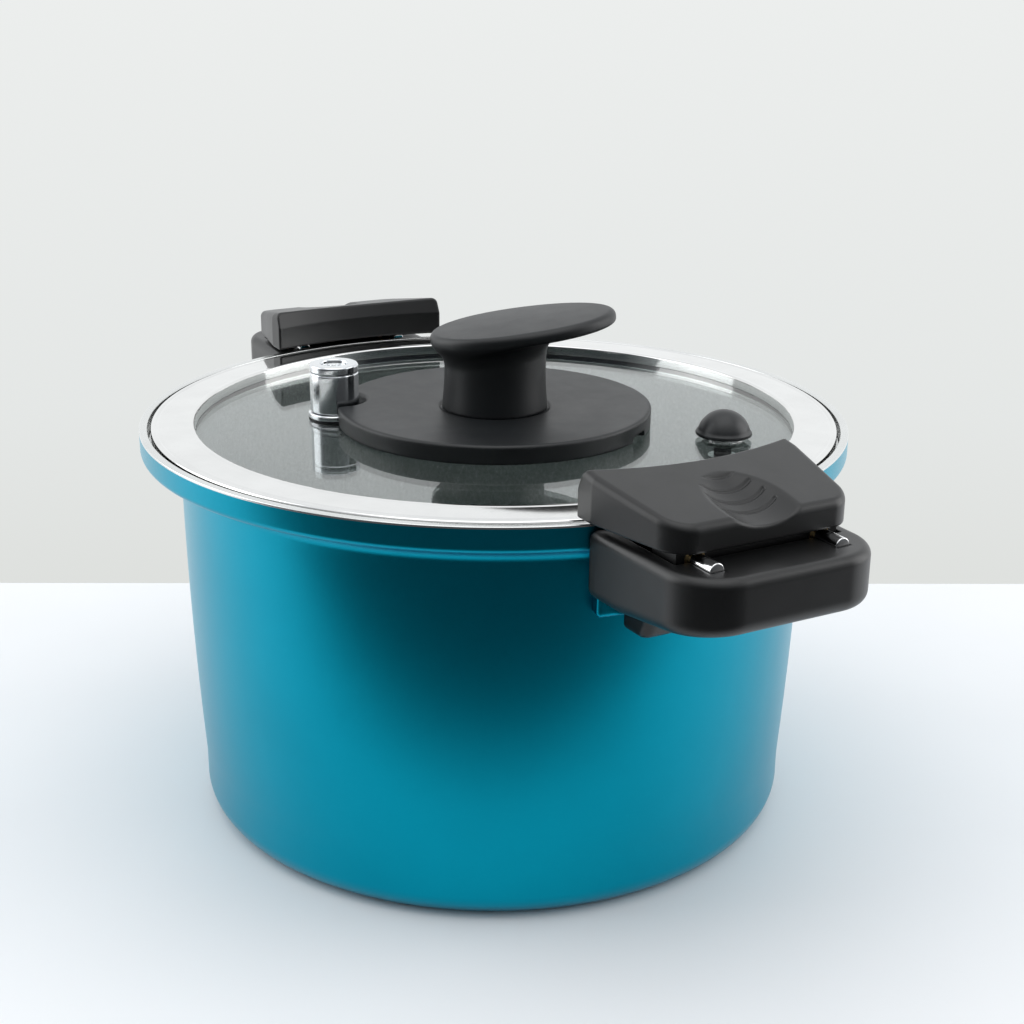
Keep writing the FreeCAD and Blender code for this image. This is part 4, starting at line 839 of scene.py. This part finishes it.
def weight_field(p):
    """Polished weight: bevelled top, cup with four steam ports, bore from below."""
    x = p[:, 0] - WEIGHT_CENTRE[0]
    y = p[:, 1] - WEIGHT_CENTRE[1]
    z = p[:, 2]
    radius = np.hypot(x, y)
    head = WEIGHT_HIGH[2]
    solid = round_meet(radius - WEIGHT_RADIUS, z - head, 0.9)
    solid = round_meet(solid, WEIGHT_LOW[2] - z, 0.45)
    line = np.hypot(radius - WEIGHT_RADIUS - 0.15, z - (head - LINE_DROP)) - 0.4
    solid = np.maximum(solid, -line)
    cup = np.maximum(radius - CUP_RADIUS - (z - head) * 0.3, head - CUP_DEEP - z)
    solid = round_meet(solid, -cup, 0.35)
    pin = round_meet(radius - PIN_RADIUS, z - (head - 0.5), 0.4)
    pin = np.maximum(pin, head - 3.0 - z)
    solid = np.minimum(solid, pin)
    for k in range(PORT_COUNT):
        angle = 2 * math.pi * k / PORT_COUNT
        port_x, port_y = PORT_RING * math.cos(angle), PORT_RING * math.sin(angle)
        port = np.hypot(x - port_x, y - port_y) - PORT_RADIUS
        solid = np.maximum(solid, -np.maximum(port, head - PORT_DEEP - z))
    bore = np.maximum(radius - WEIGHT_BORE, z - (FLANGE_TOP + WEIGHT_BORE_TALL))
    return np.maximum(solid, -bore)


def build_vent():
    """Vent pipe under the weight, with the flange that shows below it."""
    path = rounded_path([
        (PIPE_BORE, FLANGE_LOW[2], 0), (PIPE_TAIL, FLANGE_LOW[2], 0.4), (PIPE_TAIL, SEAL_HIGH, 0.2),
        (FLANGE_RADIUS, SEAL_HIGH, 0.3), (FLANGE_RADIUS, FLANGE_TOP, 0.7),
        (PIPE_RADIUS, FLANGE_TOP, 0.3), (PIPE_RADIUS, FLANGE_HIGH[2], 1.0),
        (PIPE_BORE, FLANGE_HIGH[2], 0)], 12.0)
    vertices, faces, _ = revolve(path, 96, closed=True, centre=WEIGHT_CENTRE[:2])
    return make_object("vent_pipe_turned", vertices, faces, [VALVE_METAL])


def build_plug():
    """Silicone dome with a soft lip, and the stem below it."""
    seat_top = GLASS_TOP + 1.0
    low = seat_top + 0.3
    lip = 1.9
    wide = DOME_RADIUS - 0.7
    high = PLUG_HIGH[2]
    tail = PLUG_LOW[2]
    path = [(0.0, tail)]
    path += [tuple(q) for q in rounded_path([
        (0.0, tail, 0), (TAIL_RADIUS, tail, 0.4), (TAIL_RADIUS, tail + 1.0, 0.1),
        (TAIL_NECK, tail + 1.0, 0.1), (TAIL_NECK, tail + 2.2, 0.1), (TAIL_RADIUS, tail + 2.2, 0.1),
        (TAIL_RADIUS, low, 0.1), (DOME_RADIUS, low, 0.45), (DOME_RADIUS, low + 1.2, 0.6),
        (wide, low + lip, 0)], 12.0)[1:]]
    rise = high - low - lip
    ball = (wide ** 2 + rise ** 2) / (2 * rise)
    steep = math.asin(min(1.0, wide / ball))
    if rise > ball:
        steep = math.pi - steep
    for k in range(1, DOME_STEPS + 1):
        turn = steep * (1 - k / DOME_STEPS)
        path.append((ball * math.sin(turn), high - ball + ball * math.cos(turn)))
    vertices, faces, _ = revolve(path, 128, centre=PLUG_CENTRE[:2])
    return make_object("safety_dome", vertices, faces, [SILICONE])


# ---------------------------------------------------------------- lid

BAND_WIDTH = 15.6
SHEET = 1.0
GASKET_FOOT = RIM_RADIUS - RIM_LIP - STEP_WIDTH - 0.55


def build_band():
    """Pressed and polished band: inner wall on the glass, flat top, rolled edge and skirt."""
    outer = BAND_RADIUS
    inner = BAND_RADIUS - BAND_WIDTH
    top = BAND_TOP
    low = BAND_LOW[2]
    path = rounded_path([
        (inner, GLASS_TOP, 0.1), (inner + SHEET, GLASS_TOP, 0.1), (inner + SHEET, top - SHEET, 0.4),
        (outer - SHEET, top - SHEET, 0.7), (outer - SHEET, low, 0.2), (outer, low, 0.3),
        (outer, top - 0.35, 1.2), (outer - 1.5, top - 0.05, 0.4), (outer - 2.2, top - 0.35, 0.3),
        (outer - 3.0, top - 0.12, 0.5), (inner + 2.6, top - 0.12, 0.5), (inner + 1.6, top, 0.4),
        (inner, top, 0.8)], 9.0, closed=True)
    vertices, faces, _ = revolve(path, 256, closed=True)
    return make_object("band_pressed", vertices, faces, [BAND_METAL])


def build_gasket():
    """Silicone gasket under the band, clasping the glass."""
    low, high = node_box("lid_gasket")
    glass_low, glass_high = node_box("glass_panel")
    slack = 0.15
    inner = BAND_RADIUS - BAND_WIDTH + SHEET + slack
    glass_edge = glass_high[0] + slack
    glass_under = glass_low[2] - slack
    skirt = BAND_LOW[2]
    path = rounded_path([
        (inner, GLASS_TOP + slack, 0.3), (glass_edge, GLASS_TOP + slack, 0.3),
        (glass_edge, glass_under, 0.3), (inner, glass_under, 0.4),
        (inner, low[2], 0.4), (GASKET_FOOT, low[2], 0.8), (GASKET_FOOT, skirt, 0.5),
        (high[0], skirt, 0.2), (high[0], high[2], 0.4), (inner, high[2], 0.4)], 12.0, closed=True)
    vertices, faces, _ = revolve(path, 224, closed=True)
    return make_object("gasket_moulded", vertices, faces, [SILICONE])


def build_disc():
    """Induction disc let into the base."""
    path = rounded_path([
        (0.0, 0.0, 0), (DISC_RADIUS, 0.0, 0.35), (DISC_RADIUS, DISC_THICK, 0.3),
        (0.0, DISC_THICK, 0)], 12.0)
    vertices, faces, _ = revolve(resample(path, 6.0), 192)
    return make_object("base_disc", vertices, faces, [BASE_METAL])


def build_rods():
    """The pair of guide rods on the front handle."""
    length = ROD_END - ROD_START
    path = rounded_path([
        (0.0, 0.0, 0), (ROD_RADIUS, 0.0, 0.4), (ROD_RADIUS, length, 0.4), (0.0, length, 0)], 15.0)
    local, faces, _ = revolve(path, 48)
    local = np.array(local)
    vertices = []
    both = []
    for way in (-1, 1):
        shift = len(vertices)
        for a, b, c in local:
            vertices.append((ROD_START + c, ROD_Y * way + b, ROD_Z - a))
        both += [tuple(i + shift for i in face) for face in faces]
    return np.array(vertices), both


# ---------------------------------------------------------------- putting the pieces on the frame

finish_piece(build_pot(), "pot", "pot_shell")
finish_piece(build_disc(), "pot", "induction_disc")
finish_piece(build_band(), "lid", "lid_band")
finish_piece(build_gasket(), "lid", "lid_gasket")
finish_piece(build_vent(), "lid", "vent_pipe")
finish_piece(build_plug(), "safety_float", "safety_plug")

weight = make_object("weight_turned", *skin(weight_field, WEIGHT_LOW, WEIGHT_HIGH, 0.28), [VALVE_METAL])
finish_piece(weight, "pressure_weight", "valve_weight")
knob = make_object("knob_moulded", *skin(knob_field, KNOB_LOW - 1, KNOB_HIGH + 2, 0.6), [KNOB_PLASTIC])
finish_piece(knob, "lid", "knob")
plate = make_object("plate_moulded", *skin(plate_field, PLATE_LOW, PLATE_HIGH, 0.7), [KNOB_PLASTIC])
finish_piece(plate, "lid", "knob_plate")

lug_low = (BODY_RADIUS - 8, -LUG_HALF, LUG_LOW)
lug_high = (LUG_FACE, LUG_HALF, LUG_HIGH)
SIDE_MESHES = {
    "lug": skin(lug_field, lug_low, lug_high, 0.7),
    "handle_moulded": skin(handle_field, HANDLE_LOW, HANDLE_HIGH, 0.6),
    "rods_ground": build_rods(),
    "lock_moulded": skin(lock_field, LOCK_LOW, LOCK_HIGH, 0.42)}


def side_piece(side, name, material):
    """One of the pieces that both sides have, turned half round for the rear."""
    vertices, faces = SIDE_MESHES[name]
    if side == "rear":
        vertices, faces = turned_round(vertices, faces)
    return make_object(side + "_" + name, vertices, faces, [material])


for side in ("front", "rear"):
    finish_piece(side_piece(side, "lug", TEAL), "pot", "pot_shell")
    finish_piece(side_piece(side, "handle_moulded", HANDLE_PLASTIC),
                 "pot", side + "_handle")
    finish_piece(side_piece(side, "rods_ground", ROD_METAL),
                 "pot", side + "_guide_rods")
    finish_piece(side_piece(side, "lock_moulded", HANDLE_PLASTIC),
                 side + "_lock", side + "_lock_cover")

# the CAD's own nodes that stay in sight, or that show when the lid is off
FRAME_FINISH = {
    "glass_panel": GLASS, "knob_insert": BRASS, "knob_seal": SILICONE, "vent_seal": SILICONE,
    "knob_screw": FASTENER_METAL, "knob_washer": FASTENER_METAL, "vent_washer": FASTENER_METAL,
    "vent_nut": FASTENER_METAL, "safety_seat": FASTENER_METAL, "safety_clip": FASTENER_METAL}
for side in ("front", "rear"):
    for name in ("handle_screws", "handle_washers", "carriage_screws", "detent_ball",
                 "detent_spring"):
        FRAME_FINISH[side + "_" + name] = FASTENER_METAL
    FRAME_FINISH[side + "_lock_bushes"] = BRASS
    FRAME_FINISH[side + "_lock_carriage"] = HANDLE_PLASTIC
for node, finish in FRAME_FINISH.items():
    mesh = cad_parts[node].data
    mesh.materials.clear()
    mesh.materials.append(finish)


# ---------------------------------------------------------------- camera

# The camera was fitted at a slightly larger scale, and FIT_SCALE takes it to the frame's.
VIEW_TURN = math.radians(60.8)
VIEW_RISE = math.radians(18.968)
VIEW_FAR = 610.836
VIEW_ROLL = math.radians(0.5756)
TARGET = np.array([6.920, 0.0, 108.980])
FIT_SCALE = 130.0 / 131.0
LENS = 55.70
SENSOR = 36.0


def make_camera():
    """The fitted camera: placed as if in front, tilted and rolled, then turned to its side."""
    back = np.array([0.0, -math.cos(VIEW_RISE), math.sin(VIEW_RISE)])
    right = np.array([1.0, 0.0, 0.0])
    up = np.array([0.0, math.sin(VIEW_RISE), math.cos(VIEW_RISE)])
    rolled = right * math.cos(VIEW_ROLL) + up * math.sin(VIEW_ROLL)
    rolled_up = np.cross(back, rolled)
    spot = TARGET + back * VIEW_FAR
    turn = np.array([[math.cos(VIEW_TURN), -math.sin(VIEW_TURN), 0.0],
                     [math.sin(VIEW_TURN), math.cos(VIEW_TURN), 0.0],
                     [0.0, 0.0, 1.0]])
    spot = turn @ spot * FIT_SCALE * MM
    columns = [turn @ rolled, turn @ rolled_up, turn @ back]
    data = bpy.data.cameras.new("photo_camera")
    data.lens = LENS
    data.sensor_width = SENSOR
    data.clip_start = 0.01
    data.clip_end = 20.0
    camera = bpy.data.objects.new("photo_camera", data)
    bpy.context.scene.collection.objects.link(camera)
    rows = [[columns[c][r] for c in range(3)] + [spot[r]] for r in range(3)]
    camera.matrix_world = Matrix(rows + [[0, 0, 0, 1]])
    bpy.context.scene.camera = camera


make_camera()


# ---------------------------------------------------------------- table, backdrop and light

CAMERA_SIDE = Vector((math.sin(VIEW_TURN), -math.cos(VIEW_TURN), 0.0))
ACROSS = Vector((math.cos(VIEW_TURN), math.sin(VIEW_TURN), 0.0))
# two points of the table's back edge: metres across the view, and metres behind the cooker's middle
TABLE_EDGE_LEFT = (-0.259, 0.1929)
TABLE_EDGE_RIGHT = (0.277, 0.2061)
TABLE_REACH = 3.0
# painted light: the colour the table's near side is painted toward, paler than its own grain
NEAR_PAINTED_LIGHT = (0.93, 0.93, 0.94, 1.0)
# painted shade: dark colour that reflections see on the table's near side, in place of an unlit room
NEAR_PAINTED_SHADE = (0.03, 0.033, 0.036, 1.0)
CEILING = (0.95, 0.97, 0.99, 1.0)


def build_table():
    """Pale table top that ends a little behind the cooker, where the wall colour begins.

    It is painted paler toward the near side, a painted light.  Glossy rays see the near side painted
    dark instead, a painted shade that stands in for an unlit room.
    """
    slant = (TABLE_EDGE_RIGHT[1] - TABLE_EDGE_LEFT[1]) / (TABLE_EDGE_RIGHT[0] - TABLE_EDGE_LEFT[0])
    corners = []
    for along in (-TABLE_REACH, TABLE_REACH):
        behind = TABLE_EDGE_LEFT[1] + (along - TABLE_EDGE_LEFT[0]) * slant
        corners.append(ACROSS * along - CAMERA_SIDE * behind)
    for along in (TABLE_REACH, -TABLE_REACH):
        corners.append(ACROSS * along + CAMERA_SIDE * TABLE_REACH)
    mesh = bpy.data.meshes.new("table")
    mesh.from_pydata([tuple(c) for c in corners], [], [(0, 1, 2, 3)])
    table = bpy.data.objects.new("table", mesh)
    bpy.context.scene.collection.objects.link(table)
    made, tree, shader = new_material("table_top")
    grain = noise_node(tree, 12.0, 4.0)
    far_pale = ramp(tree, grain.outputs["Fac"],
                    [(0.3, (0.79, 0.8, 0.815)), (0.7, (0.805, 0.815, 0.83))])
    place = add_node(tree, "ShaderNodeTexCoord")
    toward = add_node(tree, "ShaderNodeVectorMath", operation="DOT_PRODUCT")
    toward.inputs[1].default_value = CAMERA_SIDE
    tree.links.new(place.outputs["Object"], toward.inputs[0])
    # painted light: share of the paler near-side colour, growing toward the camera side
    painted_light_share = map_range(tree, toward.outputs["Value"], 0.05, 0.32)
    # painted shade: share of the dark colour that glossy rays see toward the camera side
    painted_shade_share = map_range(tree, toward.outputs["Value"], 0.17, 0.26)
    pale = mixed_colour(tree, painted_light_share, far_pale, NEAR_PAINTED_LIGHT)
    with_painted_shade = mixed_colour(tree, painted_shade_share, pale, NEAR_PAINTED_SHADE)
    ray = add_node(tree, "ShaderNodeLightPath")
    # glossy rays get the table with its painted shade, the camera gets it without
    seen = mixed_colour(tree, ray.outputs["Is Glossy Ray"], pale, with_painted_shade)
    tree.links.new(seen, shader.inputs["Base Color"])
    shader.inputs["Roughness"].default_value = 0.6
    mesh.materials.append(made)


def build_world():
    """Soft daylight room, dim on the near side, and a pale wall where the camera sees it, with painted
    shade that darkens the wall toward its bottom.
    """
    world = bpy.data.worlds.new("soft_room")
    bpy.context.scene.world = world
    world.use_nodes = True
    tree = world.node_tree
    tree.nodes.clear()
    out = add_node(tree, "ShaderNodeOutputWorld")
    place = add_node(tree, "ShaderNodeTexCoord")
    front = add_node(tree, "ShaderNodeVectorMath", operation="DOT_PRODUCT")
    front.inputs[1].default_value = CAMERA_SIDE
    tree.links.new(place.outputs["Generated"], front.inputs[0])
    room = ramp(tree, map_range(tree, front.outputs["Value"], -1.0, 1.0), [
        (0.0, (1.0, 1.02, 1.03)), (0.52, (1.15, 1.16, 1.17)), (0.64, (0.5, 0.52, 0.54)),
        (0.78, (0.05, 0.055, 0.065)), (1.0, (0.01, 0.012, 0.015))])
    split = add_node(tree, "ShaderNodeSeparateXYZ")
    tree.links.new(place.outputs["Generated"], split.inputs["Vector"])
    overhead = map_range(tree, split.outputs["Z"], 0.25, 0.75)
    lit = mixed_colour(tree, overhead, room, CEILING)
    # painted shade: the wall seen by the camera is darker toward its bottom
    wall = ramp(tree, map_range(tree, split.outputs["Z"], -0.42, 0.05), [
        (0.0, (0.70, 0.715, 0.69)), (0.35, (0.78, 0.80, 0.79)), (1.0, (0.855, 0.871, 0.863))])
    ray = add_node(tree, "ShaderNodeLightPath")
    seen = mixed_colour(tree, ray.outputs["Is Camera Ray"], lit, wall)
    shine = add_node(tree, "ShaderNodeBackground", {"Strength": 1.0})
    tree.links.new(seen, shine.inputs["Color"])
    tree.links.new(shine.outputs["Background"], out.inputs["Surface"])


LOOK_AT = Vector((0, 0, 0.08))


def add_light(name, toward, far, size, power, height, colour=(1.0, 1.0, 1.0)):
    """Large soft light that looks at the cooker; lengths in metres, power in watts."""
    data = bpy.data.lights.new(name, "AREA")
    data.shape = "RECTANGLE"
    data.size, data.size_y = size
    data.energy = power
    data.color = colour
    lamp = bpy.data.objects.new(name, data)
    spot = toward.normalized() * far
    spot.z = height
    lamp.location = spot
    lamp.rotation_euler = (LOOK_AT - spot).to_track_quat("-Z", "Y").to_euler()
    bpy.context.scene.collection.objects.link(lamp)


build_table()
build_world()
add_light("left_window", -ACROSS - CAMERA_SIDE * 0.1, 1.1, (0.9, 1.1), 5.0, 0.55, (0.97, 0.99, 1.0))
add_light("right_panel", ACROSS - CAMERA_SIDE * 0.05, 1.1, (0.8, 1.0), 4.0, 0.5)
add_light("overhead", CAMERA_SIDE * 0.1, 0.2, (1.2, 1.2), 4.0, 1.4)

bpy.context.scene.view_settings.view_transform = "Standard"

# ---------------------------------------------------------------- end

bpy.context.view_layer.update()
